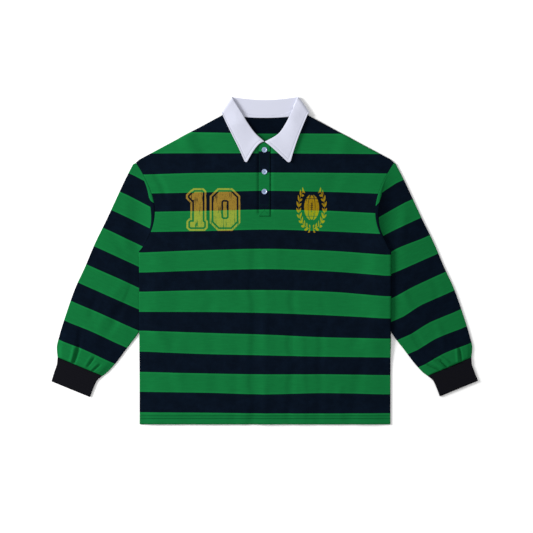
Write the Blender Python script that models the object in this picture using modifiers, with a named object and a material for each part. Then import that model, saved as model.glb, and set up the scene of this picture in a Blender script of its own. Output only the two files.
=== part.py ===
"""Long-sleeved rugby shirt laid flat, face up, in metres with +Z up.

The shirt lies on the plane z = 0 with its hem towards -Y and its collar towards +Y. The wearer's
right side is at -X. The back panel lies below, the front panel lies on it, and the sleeves hang
down beside the body and pass beneath it under the arms.
"""

import math

import bmesh
import bpy
from mathutils import Matrix, Vector

MM = 0.001

# Cloth, in millimetres like every size below
JERSEY = 1.2
RIB = 1.6
DRILL = 1.0
TAPE = 1.0
SEAM_GAP = 0.3
LAYER_GAP = 0.4

# Body outline
CHEST_HALF = 303.0
HEM_Y = -393.0
ARMPIT_X = 301.8
ARMPIT_Y = 23.0
TIP_X = 310.0
TIP_Y = 235.5
NECK_X = 69.6
NECK_Y = 369.0
SHOULDER_SLOPE = 0.534
SHOULDER_DROOP = 5.0
DROOP_START = 270.0
ARMHOLE_DEPTH = 41.0
ARMHOLE_LOW = 1.1
ARMHOLE_FULLNESS = 0.85
FRONT_NECK_DROP = 89.5
BACK_NECK_DROP = 25.2

# Heights of the layers
SLEEVE_ROOM = 0.6
SLEEVE_STACK = 3.6
COLLAR_STACK = DRILL + 2.0 * LAYER_GAP + 0.2
BODY_LOFT = 0.9
ARMHOLE_LOFT = 2.3
NECK_LOFT = 1.7
SLEEVE_LOFT = 0.8

# Where the layers rise, each as start and width: the back panel over the sleeves, outwards and
# upwards from the hem, and down again above the armpits, then over the collar's back leaf, and
# down again beside it
SLEEVE_SIDE_RAMP = (200.0, 70.0)
SLEEVE_LOW_RAMP = (-265.0, 80.0)
SLEEVE_HIGH_RAMP = (15.0, 110.0)
COLLAR_RAMP = (285.0, 45.0)
COLLAR_SIDE_RAMP = (108.0, 60.0)

# How the front's fullness fades towards the seams and away from the neck
SEAM_RAMP = (0.0, 45.0)
FOLD_RAMP = (0.0, 30.0)
ARMHOLE_RAMP = (0.0, 55.0)
NECK_MIDDLE_Y = 325.0
NECK_RAMP = (55.0, 100.0)
NECK_SIDE_RAMP = (8.0, 30.0)
SLEEVE_LOFT_RAMP = (308.0, 30.0)

# Grid of the body panels
NECK_ANGLES = (20.0, 34.0, 48.0, 60.0, 70.0, 80.0, 90.0)
SIDE_COLUMNS = 8
LOWER_ROWS = 14
SLOT_ROWS = 3
UPPER_ROWS = 7

# Placket and buttons
PLACKET_LEFT = -15.0
PLACKET_RIGHT = 12.6
PLACKET_BOTTOM = 106.0
SLOT_LEFT = -10.8
SLOT_RIGHT = 8.4
SLOT_BOTTOM = 112.0
BUTTON_X = -1.2
BUTTON_YS = (266.0, 213.5, 166.0)
BUTTON_DIAMETER = 13.0
BUTTON_THICKNESS = 2.6
BUTTON_ROUNDING = 0.7
BUTTON_RIM = 1.6
BUTTON_STEP = 0.6
BUTTON_DISH = 0.5
BUTTON_SIDES = 20
UNDER_END_GAP = 0.9
STRIP_COLUMNS = 4
STRIP_ROWS = 9

# Neck tape
TAPE_HALF = 47.0
TAPE_BELOW = 5.5
TAPE_ABOVE = 3.5
TAPE_COLUMNS = 12
TAPE_ROWS = 2

# Sleeve from armhole to cuff: outer fold x, y, then inner fold x, y, then how far the section
# runs square to the inner fold before it bends
SLEEVE_SECTIONS = (
    (319.0, 228.0, 304.6, 8.0, 14.0),
    (336.0, 195.0, 301.0, -14.0, 30.0),
    (356.0, 152.0, 294.0, -40.0, 42.0),
    (381.0, 98.0, 288.0, -70.0, 50.0),
    (408.0, 43.0, 285.5, -104.0, 50.0),
    (433.0, -16.0, 288.0, -141.0, 45.0),
    (456.0, -66.0, 306.5, -176.5, 40.0),
    (478.0, -128.0, 334.0, -213.0, 30.0),
    (493.0, -176.0, 361.5, -249.0, 20.0),
    (500.5, -209.0, 381.0, -269.5, 10.0),
    (498.5, -232.5, 391.5, -277.0, 0.0),
)
FOLD_STEPS = 4
SECTION_STEPS = 24

# Tuck along the armhole: level part beside the seam, extra width of it between two shares of the
# armhole, drop of the edge, heights of the under layer as shares of the seam's
TUCK_LEVEL = 2.2
TUCK_WIDTH = 5.5
TUCK_SPAN = (0.15, 0.65)
TUCK_DROP = 2.4
TUCK_DIP = 0.2
TUCK_REST = 0.9
UNDER_REST = 0.75

# Sleeve's end at the armpit: clearance, drop, which way its first rings' folds face, in degrees,
# and how close to the armpit and the shoulder tip the rings turn aside
PIT_CLEAR = 1.0
PIT_DROP = 1.8
PIT_TURNS = (-57.0, -76.0, -105.0)
PIT_SHARPNESS = 8
TIP_SHARPNESS = 6

# Cuff from its seam to its end: outer fold x, y, then inner fold x, y
CUFF_SECTIONS = (
    (498.3, -233.2, 391.8, -277.8),
    (501.5, -247.0, 404.0, -288.0),
    (507.0, -267.0, 412.5, -306.0),
    (511.8, -288.2, 420.0, -325.8),
)

# Soft folds: x, y at one end, x, y at the other, width, height
BODY_FOLDS = (
    (-34.0, -385.0, -30.0, -285.0, 15.0, 0.7),
    (57.0, -388.0, 52.0, -300.0, 16.0, 0.8),
    (124.0, -386.0, 118.0, -295.0, 15.0, 0.7),
    (-250.0, 0.0, -175.0, -60.0, 24.0, 0.9),
    (245.0, 5.0, 165.0, -70.0, 26.0, 0.9),
    (-190.0, 215.0, -110.0, 120.0, 26.0, 0.7),
    (185.0, 220.0, 120.0, 105.0, 26.0, 0.7),
)
SLEEVE_FOLDS = (
    (450.0, -193.0, 458.0, -245.0, 9.0, 1.6),
    (416.0, -215.0, 428.0, -262.0, 9.0, 1.1),
    (391.0, -205.0, 402.0, -262.0, 10.0, 1.0),
    (480.0, -190.0, 484.0, -236.0, 8.0, 1.0),
    (330.0, -62.0, 374.0, -172.0, 17.0, 0.9),
    (403.0, -82.0, 420.0, -135.0, 15.0, 0.8),
)

# Collar round the neck, from the wearer's right front to the left front: turn in degrees, 90 on
# the front and -90 on the back, then the place on the neckline in degrees from its middle, roll
# x, y and leaf edge x, y
COLLAR_SECTIONS = (
    (90.0, -5.0, -2.6, 285.5, -46.0, 235.0),
    (90.0, -27.0, -21.0, 305.0, -60.5, 264.5),
    (90.0, -48.0, -39.5, 331.5, -76.5, 297.0),
    (90.0, -71.0, -59.0, 362.0, -91.5, 327.5),
    (90.0, -88.5, -76.0, 386.0, -102.0, 350.5),
    (0.0, -90.0, -77.5, 390.5, -103.0, 353.5),
    (-90.0, -84.0, -75.5, 391.8, -101.0, 351.0),
    (-90.0, -31.0, -38.0, 389.5, -48.0, 337.0),
    (-90.0, 0.0, 0.0, 387.5, 0.0, 333.5),
    (-90.0, 31.0, 38.0, 389.5, 48.0, 337.0),
    (-90.0, 84.0, 75.5, 391.8, 101.0, 351.0),
    (0.0, 90.0, 77.5, 390.5, 103.0, 353.5),
    (90.0, 88.5, 76.0, 386.0, 102.0, 350.5),
    (90.0, 71.0, 64.0, 362.0, 92.5, 327.5),
    (90.0, 48.0, 49.0, 333.0, 79.5, 297.0),
    (90.0, 27.0, 30.0, 306.0, 67.5, 264.5),
    (90.0, 5.0, 1.6, 284.5, 57.5, 235.0),
)
NECK_CLEAR = 1.0
NECK_SIDE_CLEAR = 1.8
NECK_SIDE_INSET = 3.7
NECK_SIDE_ROOM = 2.0
ROLL_RADIUS = 1.3
LEAF_GAP = 0.9
LEAF_END_LIFT = 1.6
LEAF_BOW = 5.0
LEAF_BOW_EARLY = 0.6
STAND_STEPS = 3
ROLL_STEPS = 4
LEAF_STEPS = 5
TURN_STATIONS = 4
PLAIN_STATIONS = 2


def smooth(t):
    """Rise from 0 to 1 with level ends."""
    t = min(max(t, 0.0), 1.0)
    return t * t * (3.0 - 2.0 * t)


def mix(a, b, t):
    return a + (b - a) * t


def ramp(value, span):
    """0 before a span given as start and width, 1 after it."""
    return smooth((value - span[0]) / span[1])


def slope(before, after):
    """Slope at a table's row that keeps the curve from swinging past it."""
    return 0.0 if before * after <= 0.0 else 2.0 * before * after / (before + after)


def spline(rows, u):
    """Values between the rows of a table, on a curve through them, u counting rows from 0."""
    last = len(rows) - 1
    k = min(int(u), last - 1)
    f = u - k
    values = []
    for column in range(len(rows[0])):
        p0, p1, p2, p3 = (rows[min(max(k + step, 0), last)][column] for step in (-1, 0, 1, 2))
        m1 = slope(p1 - p0, p2 - p1) if k > 0 else p2 - p1
        m2 = slope(p2 - p1, p3 - p2) if k < last - 1 else p2 - p1
        ease = smooth(f)
        values.append(mix(p1, p2, ease) + m1 * f * (1.0 - f) ** 2 - m2 * f * f * (1.0 - f))
    return values


def fold_height(folds, x, y):
    """Height that the soft folds add at a point."""
    height = 0.0
    for x0, y0, x1, y1, width, crest in folds:
        along = Vector((x1 - x0, y1 - y0))
        away = Vector((x - x0, y - y0))
        t = away.dot(along) / along.length_squared
        across = abs(along.cross(away)) / along.length
        fade = smooth(0.5 + 2.5 * min(t, 1.0 - t))
        height += crest * fade * (1.0 - smooth(across / width))
    return height


# Outline of the body


def armhole_share(y):
    """0 at the shoulder tip, 1 at the armpit."""
    return min(max((TIP_Y - y) / (TIP_Y - ARMPIT_Y), 0.0), 1.0)


def side_edge(y):
    """Half width of the body at a height: side seam, then armhole."""
    if y <= ARMPIT_Y:
        return mix(CHEST_HALF, ARMPIT_X, smooth((y - HEM_Y) / (ARMPIT_Y - HEM_Y)))
    t = armhole_share(y)
    bow = ARMHOLE_DEPTH * math.sin(math.pi * t**ARMHOLE_LOW) ** ARMHOLE_FULLNESS if 0.0 < t < 1.0 else 0.0
    return mix(TIP_X, ARMPIT_X, t) - bow


def shoulder_line(x):
    droop = SHOULDER_DROOP * smooth((abs(x) - DROOP_START) / (TIP_X - DROOP_START))
    return NECK_Y - SHOULDER_SLOPE * max(abs(x) - NECK_X, 0.0) - droop


def top_edge(x, neck_drop):
    """Shoulder, then the neckline as a half ellipse."""
    if abs(x) >= NECK_X:
        return shoulder_line(x)
    return NECK_Y - neck_drop * math.sqrt(1.0 - (x / NECK_X) ** 2)


# Heights of the layers at a point


def back_bottom(x, y):
    """The back panel lies on the floor, and rises over the sleeves and the collar's back leaf."""
    over_sleeve = ramp(abs(x), SLEEVE_SIDE_RAMP) * ramp(y, SLEEVE_LOW_RAMP)
    over_sleeve *= 1.0 - ramp(y, SLEEVE_HIGH_RAMP)
    over_collar = ramp(y, COLLAR_RAMP) * (1.0 - ramp(abs(x), COLLAR_SIDE_RAMP))
    return SLEEVE_STACK * over_sleeve + COLLAR_STACK * over_collar


def back_top(x, y):
    return back_bottom(x, y) + JERSEY


def front_bottom(x, y):
    """The front panel lies on the back panel, a little fuller away from the seams."""
    from_side = side_edge(y) - abs(x)
    from_shoulder = shoulder_line(x) - y
    from_neck = math.hypot(x, y - NECK_MIDDLE_Y)
    from_corner = math.hypot(abs(x) - NECK_X, y - NECK_Y)
    body = BODY_LOFT * ramp(from_side, SEAM_RAMP) * ramp(from_shoulder, SEAM_RAMP)
    armhole = ARMHOLE_LOFT * math.sin(math.pi * armhole_share(y)) * (1.0 - ramp(from_side, ARMHOLE_RAMP))
    neck = NECK_LOFT * ramp(from_shoulder, SEAM_RAMP) * (1.0 - ramp(from_neck, NECK_RAMP))
    neck_side = NECK_SIDE_ROOM * (1.0 - ramp(from_corner, NECK_SIDE_RAMP))
    folds = fold_height(BODY_FOLDS, x, y) * ramp(from_side, FOLD_RAMP)
    return back_top(x, y) + SEAM_GAP + body + armhole + neck + neck_side + folds


def front_top(x, y):
    return front_bottom(x, y) + JERSEY


# Mesh helpers


def finish(bm, name, material, collection, thickness=0.0, offset=1.0):
    """Turn a bmesh in millimetres into an object in metres, with a wall if it is a sheet."""
    bmesh.ops.scale(bm, vec=(MM, MM, MM), verts=bm.verts)
    mesh = bpy.data.meshes.new(name)
    bm.to_mesh(mesh)
    bm.free()
    mesh.materials.append(material)
    for face in mesh.polygons:
        face.use_smooth = True
    obj = bpy.data.objects.new(name, mesh)
    collection.objects.link(obj)
    if thickness:
        wall = obj.modifiers.new("Wall", "SOLIDIFY")
        wall.thickness = thickness * MM
        wall.offset = offset
    return obj


def sheet(columns, rows, place):
    """A grid whose vertex in column i and row j stands at place(i, j)."""
    bm = bmesh.new()
    bmesh.ops.create_grid(bm, x_segments=columns, y_segments=rows, size=1.0)
    for vert in bm.verts:
        i = round((vert.co.x + 1.0) / 2.0 * columns)
        j = round((vert.co.y + 1.0) / 2.0 * rows)
        vert.co = place(i, j)
    return bm


def close_tube(bm):
    """Join the first and the last column of a sheet that goes all round."""
    bmesh.ops.remove_doubles(bm, verts=bm.verts, dist=0.001)
    bm.normal_update()
    room = sum(face.calc_center_median().z * face.normal.z * face.calc_area() for face in bm.faces)
    if room < 0.0:
        bmesh.ops.reverse_faces(bm, faces=bm.faces)
    return bm


def make_material(name, colour, roughness):
    material = bpy.data.materials.new(name)
    material.use_nodes = True
    shader = material.node_tree.nodes["Principled BSDF"]
    shader.inputs["Base Color"].default_value = (*colour, 1.0)
    shader.inputs["Roughness"].default_value = roughness
    return material


# Body panels


def body_columns():
    """Column positions at chest level, from the wearer's right to the left."""
    neck_steps = [NECK_X * math.sin(math.radians(angle)) for angle in NECK_ANGLES]
    side_steps = [mix(NECK_X, CHEST_HALF, k / SIDE_COLUMNS) for k in range(1, SIDE_COLUMNS + 1)]
    half = neck_steps + side_steps
    return [-x for x in reversed(half)] + [SLOT_LEFT, BUTTON_X, SLOT_RIGHT] + half


def body_shares():
    """Shares of the way from the armpit to the shoulder tip where the panels have a row."""
    slot_share = (SLOT_BOTTOM - ARMPIT_Y) / (NECK_Y - FRONT_NECK_DROP - ARMPIT_Y)
    lower = [slot_share * k / SLOT_ROWS for k in range(SLOT_ROWS)]
    return lower + [mix(slot_share, 1.0, k / UPPER_ROWS) for k in range(UPPER_ROWS + 1)]


def body_rows():
    """Row positions: heights up to the armpit, then shares of the way to the top edge."""
    lower = [mix(HEM_Y, ARMPIT_Y, k / LOWER_ROWS) for k in range(LOWER_ROWS)]
    return [(y, 0.0) for y in lower] + [(ARMPIT_Y, share) for share in body_shares()]


def body_point(column_x, row, neck_drop):
    """Plan position on a panel: level rows below the armpit, fanned rows above it."""
    y, share = row
    y_side = mix(y, TIP_Y, share)
    pull = (column_x / CHEST_HALF) ** 3
    x = column_x + (side_edge(y_side) - CHEST_HALF) * pull
    x_top = column_x + (TIP_X - CHEST_HALF) * pull
    return x, mix(y, top_edge(x_top, neck_drop), share)


def body_panel(neck_drop, height):
    columns, rows = body_columns(), body_rows()

    def place(i, j):
        x, y = body_point(columns[i], rows[j], neck_drop)
        return x, y, height(x, y)

    return sheet(len(columns) - 1, len(rows) - 1, place)


def build_back(cloth, collection):
    bm = body_panel(BACK_NECK_DROP, back_bottom)
    return finish(bm, "back_panel", cloth, collection, JERSEY)


def build_front(cloth, collection):
    """The front has a slot for the placket, open to the neckline."""
    bm = body_panel(FRONT_NECK_DROP, front_bottom)
    in_slot = [
        face for face in bm.faces
        if SLOT_LEFT < face.calc_center_median().x < SLOT_RIGHT
        and face.calc_center_median().y > SLOT_BOTTOM
    ]
    bmesh.ops.delete(bm, geom=in_slot, context="FACES")
    return finish(bm, "front_panel", cloth, collection, JERSEY)


# Sleeves and cuffs


def ring(plan, outer_out, inner_out, z_bottom, z_top):
    """One closed section of a flattened tube, from the underarm fold along the back layer to the
    outer fold, and along the front layer to the underarm fold again. Both folds are round, and
    bulge the way outer_out and inner_out point."""
    shares = [1.0 - share for share in body_shares()]
    outer_radius = 0.5 * (z_top(0.0) - z_bottom(0.0))
    inner_radius = 0.5 * (z_top(1.0) - z_bottom(1.0))

    def flat(share):
        pull = outer_out * outer_radius * (1.0 - share) ** 4 + inner_out * inner_radius * share**4
        return plan(share) - pull

    points = [(*flat(share), z_bottom(share)) for share in shares]
    points += round_fold(flat(0.0), outer_out * outer_radius, z_bottom(0.0), z_top(0.0))
    points += [(*flat(share), z_top(share)) for share in reversed(shares)]
    points += reversed(round_fold(flat(1.0), inner_out * inner_radius, z_bottom(1.0), z_top(1.0)))
    points.append(points[0])
    return points


def round_fold(start, bulge, z_low, z_high):
    """The points between two layers that make a round fold, lower one first."""
    points = []
    for k in range(1, FOLD_STEPS):
        angle = math.pi * (k / FOLD_STEPS - 0.5)
        z = mix(z_low, z_high, 0.5 + 0.5 * math.sin(angle))
        points.append((*(start + bulge * math.cos(angle)), z))
    return points


def armhole_plan(side, distance):
    """The armhole's curve in plan, moved outwards by a distance that depends on the share."""
    first = SLEEVE_SECTIONS[0]
    tip_way = Vector((first[0] - TIP_X, first[1] - TIP_Y)).normalized()
    pit_way = Vector((first[2] - ARMPIT_X, first[3] - ARMPIT_Y)).normalized()

    def plan(share):
        y = min(max(mix(TIP_Y, ARMPIT_Y, share), ARMPIT_Y + 0.01), TIP_Y - 0.01)
        low, high = max(y - 2.0, ARMPIT_Y + 0.01), min(y + 2.0, TIP_Y - 0.01)
        normal = Vector((high - low, side_edge(low) - side_edge(high))).normalized()
        at_tip, at_pit = (1.0 - share) ** TIP_SHARPNESS, share**PIT_SHARPNESS
        normal = normal.lerp(tip_way, at_tip).lerp(pit_way, at_pit).normalized()
        point = Vector((side_edge(y) + PIT_CLEAR * at_pit, y)) + normal * distance(share)
        return Vector((side * point.x, point.y))

    return plan


def section_plan(side, section, inner_out):
    """A section across the tube that meets its inner fold squarely, then bends to its outer one."""
    outer_x, outer_y, inner_x, inner_y, reach = section
    outer, inner = Vector((side * outer_x, outer_y)), Vector((side * inner_x, inner_y))
    bend = inner - inner_out * reach if reach else outer.lerp(inner, 0.5)

    path = []
    for k in range(SECTION_STEPS + 1):
        t = k / SECTION_STEPS
        path.append(outer.lerp(bend, t).lerp(bend.lerp(inner, t), t))
    lengths = [0.0]
    for before, after in zip(path, path[1:]):
        lengths.append(lengths[-1] + (after - before).length)

    def plan(share):
        along = share * lengths[-1]
        k = max(step for step in range(SECTION_STEPS) if lengths[step] <= along)
        return path[k].lerp(path[k + 1], (along - lengths[k]) / (lengths[k + 1] - lengths[k]))

    return plan


def tuck_width(share):
    """How far the sleeve runs level from the armhole seam before it drops into the tuck."""
    t = min(max((share - TUCK_SPAN[0]) / TUCK_SPAN[1], 0.0), 1.0)
    return TUCK_LEVEL + TUCK_WIDTH * math.sin(math.pi * t) ** 2


def fold_ways(side, sections, u):
    """The ways that the outer and the inner fold face, square to their paths in plan."""
    reach = 0.25
    last = len(sections) - 1.0
    before, after = spline(sections, max(u - reach, 0.0)), spline(sections, min(u + reach, last))
    outer = Vector((after[0] - before[0], after[1] - before[1])).normalized()
    inner = Vector((after[2] - before[2], after[3] - before[3])).normalized()
    return Vector((-side * outer.y, outer.x)), Vector((side * inner.y, -inner.x))


def sleeve_rings(side):
    full = 2.0 * JERSEY + SLEEVE_ROOM
    seam = armhole_plan(side, lambda share: SEAM_GAP)
    tip_way = fold_ways(side, ((TIP_X, TIP_Y, ARMPIT_X, ARMPIT_Y), SLEEVE_SECTIONS[0][:4]), 0.5)[0]
    pit_ways = [
        Vector((side * math.cos(math.radians(turn)), math.sin(math.radians(turn)))) for turn in PIT_TURNS
    ]

    def seam_bottom(share):
        return back_bottom(*seam(share)) - PIT_DROP * share**PIT_SHARPNESS

    def seam_top(share):
        return max(front_top(*seam(share)), seam_bottom(share) + full)

    def tuck_bottom(share):
        return TUCK_REST * seam_bottom(share)

    def tuck_top(share):
        return max(seam_top(share) - TUCK_DIP, tuck_bottom(share) + full)

    def under_bottom(share):
        return UNDER_REST * seam_bottom(share)

    def under_top(share):
        return under_bottom(share) + full

    tuck = armhole_plan(side, lambda share: SEAM_GAP + tuck_width(share))
    under = armhole_plan(side, lambda share: SEAM_GAP + tuck_width(share) + TUCK_DROP)
    rings = [
        ring(seam, tip_way, pit_ways[0], seam_bottom, seam_top),
        ring(tuck, tip_way, pit_ways[1], tuck_bottom, tuck_top),
        ring(under, tip_way, pit_ways[2], under_bottom, under_top),
    ]
    for k in range(2 * len(SLEEVE_SECTIONS) - 1):
        ways = fold_ways(side, SLEEVE_SECTIONS, k / 2)
        plan = section_plan(side, spline(SLEEVE_SECTIONS, k / 2), ways[1])

        def top(share, plan=plan):
            x, y = plan(share)
            middle = math.sin(math.pi * share)
            loft = SLEEVE_LOFT * middle * ramp(abs(x), SLEEVE_LOFT_RAMP)
            return full + loft + fold_height(SLEEVE_FOLDS, abs(x), y) * smooth(3.0 * middle)

        rings.append(ring(plan, *ways, floor, top))
    return rings


def floor(share):
    return 0.0


def tube_from_rings(rings):
    around = len(rings[0]) - 1
    bm = sheet(around, len(rings) - 1, lambda i, j: rings[j][i])
    return close_tube(bm)


def build_sleeve(name, side, cloth, collection):
    bm = tube_from_rings(sleeve_rings(side))
    return finish(bm, name, cloth, collection, JERSEY, offset=-1.0)


def build_cuff(name, side, cloth, collection):
    full = 2.0 * RIB + SLEEVE_ROOM
    rings = []
    for k in range(2 * len(CUFF_SECTIONS) - 1):
        ways = fold_ways(side, CUFF_SECTIONS, k / 2)
        plan = section_plan(side, (*spline(CUFF_SECTIONS, k / 2), 0.0), ways[1])
        rings.append(ring(plan, *ways, floor, lambda share: full))
    bm = tube_from_rings(rings)
    return finish(bm, name, cloth, collection, RIB, offset=-1.0)


# Collar


def neck_seam(angle, turn):
    """A point just inside the neckline, the front's or the back's or between them."""
    drop = mix(BACK_NECK_DROP, FRONT_NECK_DROP, 0.5 + 0.5 * math.sin(turn)) - NECK_CLEAR
    x = (NECK_X - NECK_SIDE_INSET - NECK_SIDE_CLEAR * math.cos(turn)) * math.sin(angle)
    return Vector((x, NECK_Y - drop * math.cos(angle) + NECK_SIDE_CLEAR * math.cos(turn) ** 2))


def collar_point(section, from_end, step):
    """A point of the collar's middle surface, step counting from the neck seam to the leaf edge."""
    turn, neck_angle, roll_x, roll_y, edge_x, edge_y = section
    turn = math.radians(turn)
    seam = neck_seam(math.radians(neck_angle), turn)
    roll, edge = Vector((roll_x, roll_y)), Vector((edge_x, edge_y))
    end = smooth(1.0 - from_end)
    stand_front = front_bottom(*seam) + 0.5 * JERSEY
    stand_back = back_bottom(*seam) + 0.5 * JERSEY
    leaf_back = 0.5 * DRILL
    outwards = (roll - seam).normalized()
    if step <= STAND_STEPS:
        plan = seam.lerp(roll - outwards * ROLL_RADIUS, step / STAND_STEPS)
        front, back = stand_front, stand_back
    elif step <= STAND_STEPS + ROLL_STEPS:
        angle = math.pi * ((step - STAND_STEPS) / ROLL_STEPS - 0.5)
        plan = roll - outwards * ROLL_RADIUS * (1.0 - math.cos(angle))
        front = stand_front + ROLL_RADIUS * (1.0 + math.sin(angle))
        back = mix(stand_back, leaf_back, 0.5 + 0.5 * math.sin(angle))
    else:
        share = (step - STAND_STEPS - ROLL_STEPS) / LEAF_STEPS
        plan = (roll - outwards * ROLL_RADIUS).lerp(edge, share)
        across = Vector((edge.y - roll.y, roll.x - edge.x)).normalized()
        bow = LEAF_BOW * math.sin(math.pi * share**LEAF_BOW_EARLY) * end
        plan += across * bow * math.copysign(1.0, seam.x)
        rest = front_top(*plan) + LEAF_GAP + 0.5 * DRILL
        rise = stand_front + 2.0 * ROLL_RADIUS - (front_top(*roll) + LEAF_GAP + 0.5 * DRILL)
        front = rest + rise * (1.0 - share) ** 2 + LEAF_END_LIFT * end * (1.0 - share)
        back = leaf_back
    fold = (edge - roll).normalized()
    away = Vector((fold.y, -fold.x))
    if away.y < 0.0:
        away = -away
    plan = plan + away * 0.5 * (front - back) * math.cos(turn)
    return (*plan, 0.5 * (front + back) + 0.5 * (front - back) * math.sin(turn))


def build_collar(cloth, collection):
    last = len(COLLAR_SECTIONS) - 1
    stations = []
    for k in range(last):
        turning = COLLAR_SECTIONS[k][0] != COLLAR_SECTIONS[k + 1][0]
        parts = TURN_STATIONS if turning else PLAIN_STATIONS
        stations += [k + part / parts for part in range(parts)]
    stations.append(float(last))

    def place(i, j):
        u = stations[i]
        section = spline(COLLAR_SECTIONS, u)
        k = min(int(u), last - 1)
        section[0] = mix(COLLAR_SECTIONS[k][0], COLLAR_SECTIONS[k + 1][0], u - k)
        return collar_point(section, min(u, last - u), j)

    bm = sheet(len(stations) - 1, STAND_STEPS + ROLL_STEPS + LEAF_STEPS, place)
    return finish(bm, "collar", cloth, collection, DRILL, offset=0.0)


def build_tape(cloth, collection):
    """The tape covers the back neck seam inside the shirt."""

    def place(i, j):
        x = mix(-TAPE_HALF, TAPE_HALF, i / TAPE_COLUMNS)
        y = top_edge(x, BACK_NECK_DROP) + mix(-TAPE_BELOW, TAPE_ABOVE, j / TAPE_ROWS)
        return x, y, back_top(x, y) + SEAM_GAP

    return finish(sheet(TAPE_COLUMNS, TAPE_ROWS, place), "neck_tape", cloth, collection, TAPE)


# Placket and buttons


def placket_strip(left, right, bottom, height):
    """A strip along the centre front, from its lower end up to the neckline."""

    def place(i, j):
        x = mix(left, right, i / STRIP_COLUMNS)
        y = mix(bottom, top_edge(x, FRONT_NECK_DROP) - SEAM_GAP, j / STRIP_ROWS)
        return x, y, height(x, y)

    return sheet(STRIP_COLUMNS, STRIP_ROWS, place)


def build_placket(cloth, collection):
    under = placket_strip(
        SLOT_LEFT + SEAM_GAP, SLOT_RIGHT - SEAM_GAP, SLOT_BOTTOM + UNDER_END_GAP, front_bottom
    )
    finish(under, "placket_under", cloth, collection, JERSEY)
    over = placket_strip(
        PLACKET_LEFT, PLACKET_RIGHT, PLACKET_BOTTOM, lambda x, y: front_top(x, y) + SEAM_GAP
    )
    finish(over, "placket_top", cloth, collection, JERSEY)


def build_buttons(material, collection):
    for number, y in enumerate(BUTTON_YS, start=1):
        bm = bmesh.new()
        bmesh.ops.create_cone(
            bm, cap_ends=True, segments=BUTTON_SIDES, radius1=0.5 * BUTTON_DIAMETER,
            radius2=0.5 * BUTTON_DIAMETER, depth=BUTTON_THICKNESS,
        )
        rim = [edge for edge in bm.edges if abs(edge.verts[0].co.z - edge.verts[1].co.z) < 0.01]
        bmesh.ops.bevel(
            bm, geom=rim, offset=BUTTON_ROUNDING, segments=2, profile=0.5, affect="EDGES", material=-1,
        )
        top = max(bm.faces, key=lambda face: face.calc_center_median().z)
        bmesh.ops.inset_region(bm, faces=[top], thickness=BUTTON_RIM)
        bmesh.ops.inset_region(bm, faces=[top], thickness=BUTTON_STEP, depth=-BUTTON_DISH)
        seat = front_top(BUTTON_X, y) + 2.0 * SEAM_GAP + JERSEY
        bmesh.ops.transform(
            bm, verts=bm.verts,
            matrix=Matrix.Translation((BUTTON_X, y, seat + 0.5 * BUTTON_THICKNESS)),
        )
        finish(bm, f"button_{number}", material, collection)


def main():
    for obj in list(bpy.data.objects):
        bpy.data.objects.remove(obj, do_unlink=True)
    shirt = bpy.data.collections.new("Rugby shirt")
    bpy.context.scene.collection.children.link(shirt)
    jersey = make_material("Green cotton jersey", (0.007, 0.18, 0.045), 0.85)
    rib = make_material("Charcoal cotton rib", (0.008, 0.008, 0.011), 0.9)
    drill = make_material("White cotton drill", (0.68, 0.69, 0.78), 0.8)
    button = make_material("Pale blue polyester", (0.5, 0.62, 0.75), 0.3)
    build_back(jersey, shirt)
    build_front(jersey, shirt)
    for wearer, side in (("right", -1.0), ("left", 1.0)):
        build_sleeve(f"sleeve_{wearer}", side, jersey, shirt)
        build_cuff(f"cuff_{wearer}", side, rib, shirt)
    build_collar(drill, shirt)
    build_tape(drill, shirt)
    build_placket(jersey, shirt)
    build_buttons(button, shirt)


main()
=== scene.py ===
"""Looks of a long-sleeved rugby shirt that lies flat and face up.

Every length is in millimetres until a piece is finished. The wearer's right side is at -X, the
collar at +Y, and the front faces +Z.
"""

import math

import bmesh
import bpy
from mathutils import Matrix, Vector, noise

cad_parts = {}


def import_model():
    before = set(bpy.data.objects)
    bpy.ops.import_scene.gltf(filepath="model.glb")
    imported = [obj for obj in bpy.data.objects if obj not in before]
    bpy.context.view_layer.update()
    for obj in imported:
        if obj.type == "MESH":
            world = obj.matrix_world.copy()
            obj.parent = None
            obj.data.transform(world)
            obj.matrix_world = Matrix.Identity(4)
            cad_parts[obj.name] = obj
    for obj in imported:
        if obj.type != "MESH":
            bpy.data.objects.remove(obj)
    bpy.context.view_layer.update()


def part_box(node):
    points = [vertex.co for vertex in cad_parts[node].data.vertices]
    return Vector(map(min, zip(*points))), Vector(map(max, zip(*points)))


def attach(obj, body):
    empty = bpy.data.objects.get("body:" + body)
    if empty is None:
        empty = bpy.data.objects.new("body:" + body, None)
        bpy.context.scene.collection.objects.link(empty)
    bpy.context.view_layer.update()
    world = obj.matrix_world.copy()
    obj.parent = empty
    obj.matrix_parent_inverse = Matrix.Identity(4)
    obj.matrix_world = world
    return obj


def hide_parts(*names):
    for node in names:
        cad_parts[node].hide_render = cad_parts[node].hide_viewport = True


MM = 0.001
IN_MM = (1.0 / MM, 1.0 / MM, 1.0 / MM)

# Thickness of each cloth, and the gaps between pieces at a seam and between layers
JERSEY = 1.2
RIB = 1.6
DRILL = 1.0
TAPE = 0.6
SEAM_GAP = 0.3
LAYER_GAP = 0.4

# Body outline: side seam, armpit, shoulder tip and neck point, then how the shoulder bends down,
# how far the armhole bows in and how deep the necklines are
CHEST_HALF = 300.8
HEM_Y = -393.0
ARMPIT_X = 301.8
ARMPIT_Y = 23.0
TIP_X = 310.0
TIP_Y = 235.5
NECK_X = 69.6
NECK_Y = 369.0
SHOULDER_SLOPE = 0.534
SHOULDER_FALL = 1.8
FALL_WIDTH = 40.0
SHOULDER_DROOP = 3.2
DROOP_START = 299.0
ARMHOLE_DEPTH = 41.0
ARMHOLE_LOW = 1.1
ARMHOLE_FULLNESS = 0.85
FRONT_NECK_DROP = 89.5
BACK_NECK_DROP = 25.2

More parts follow.
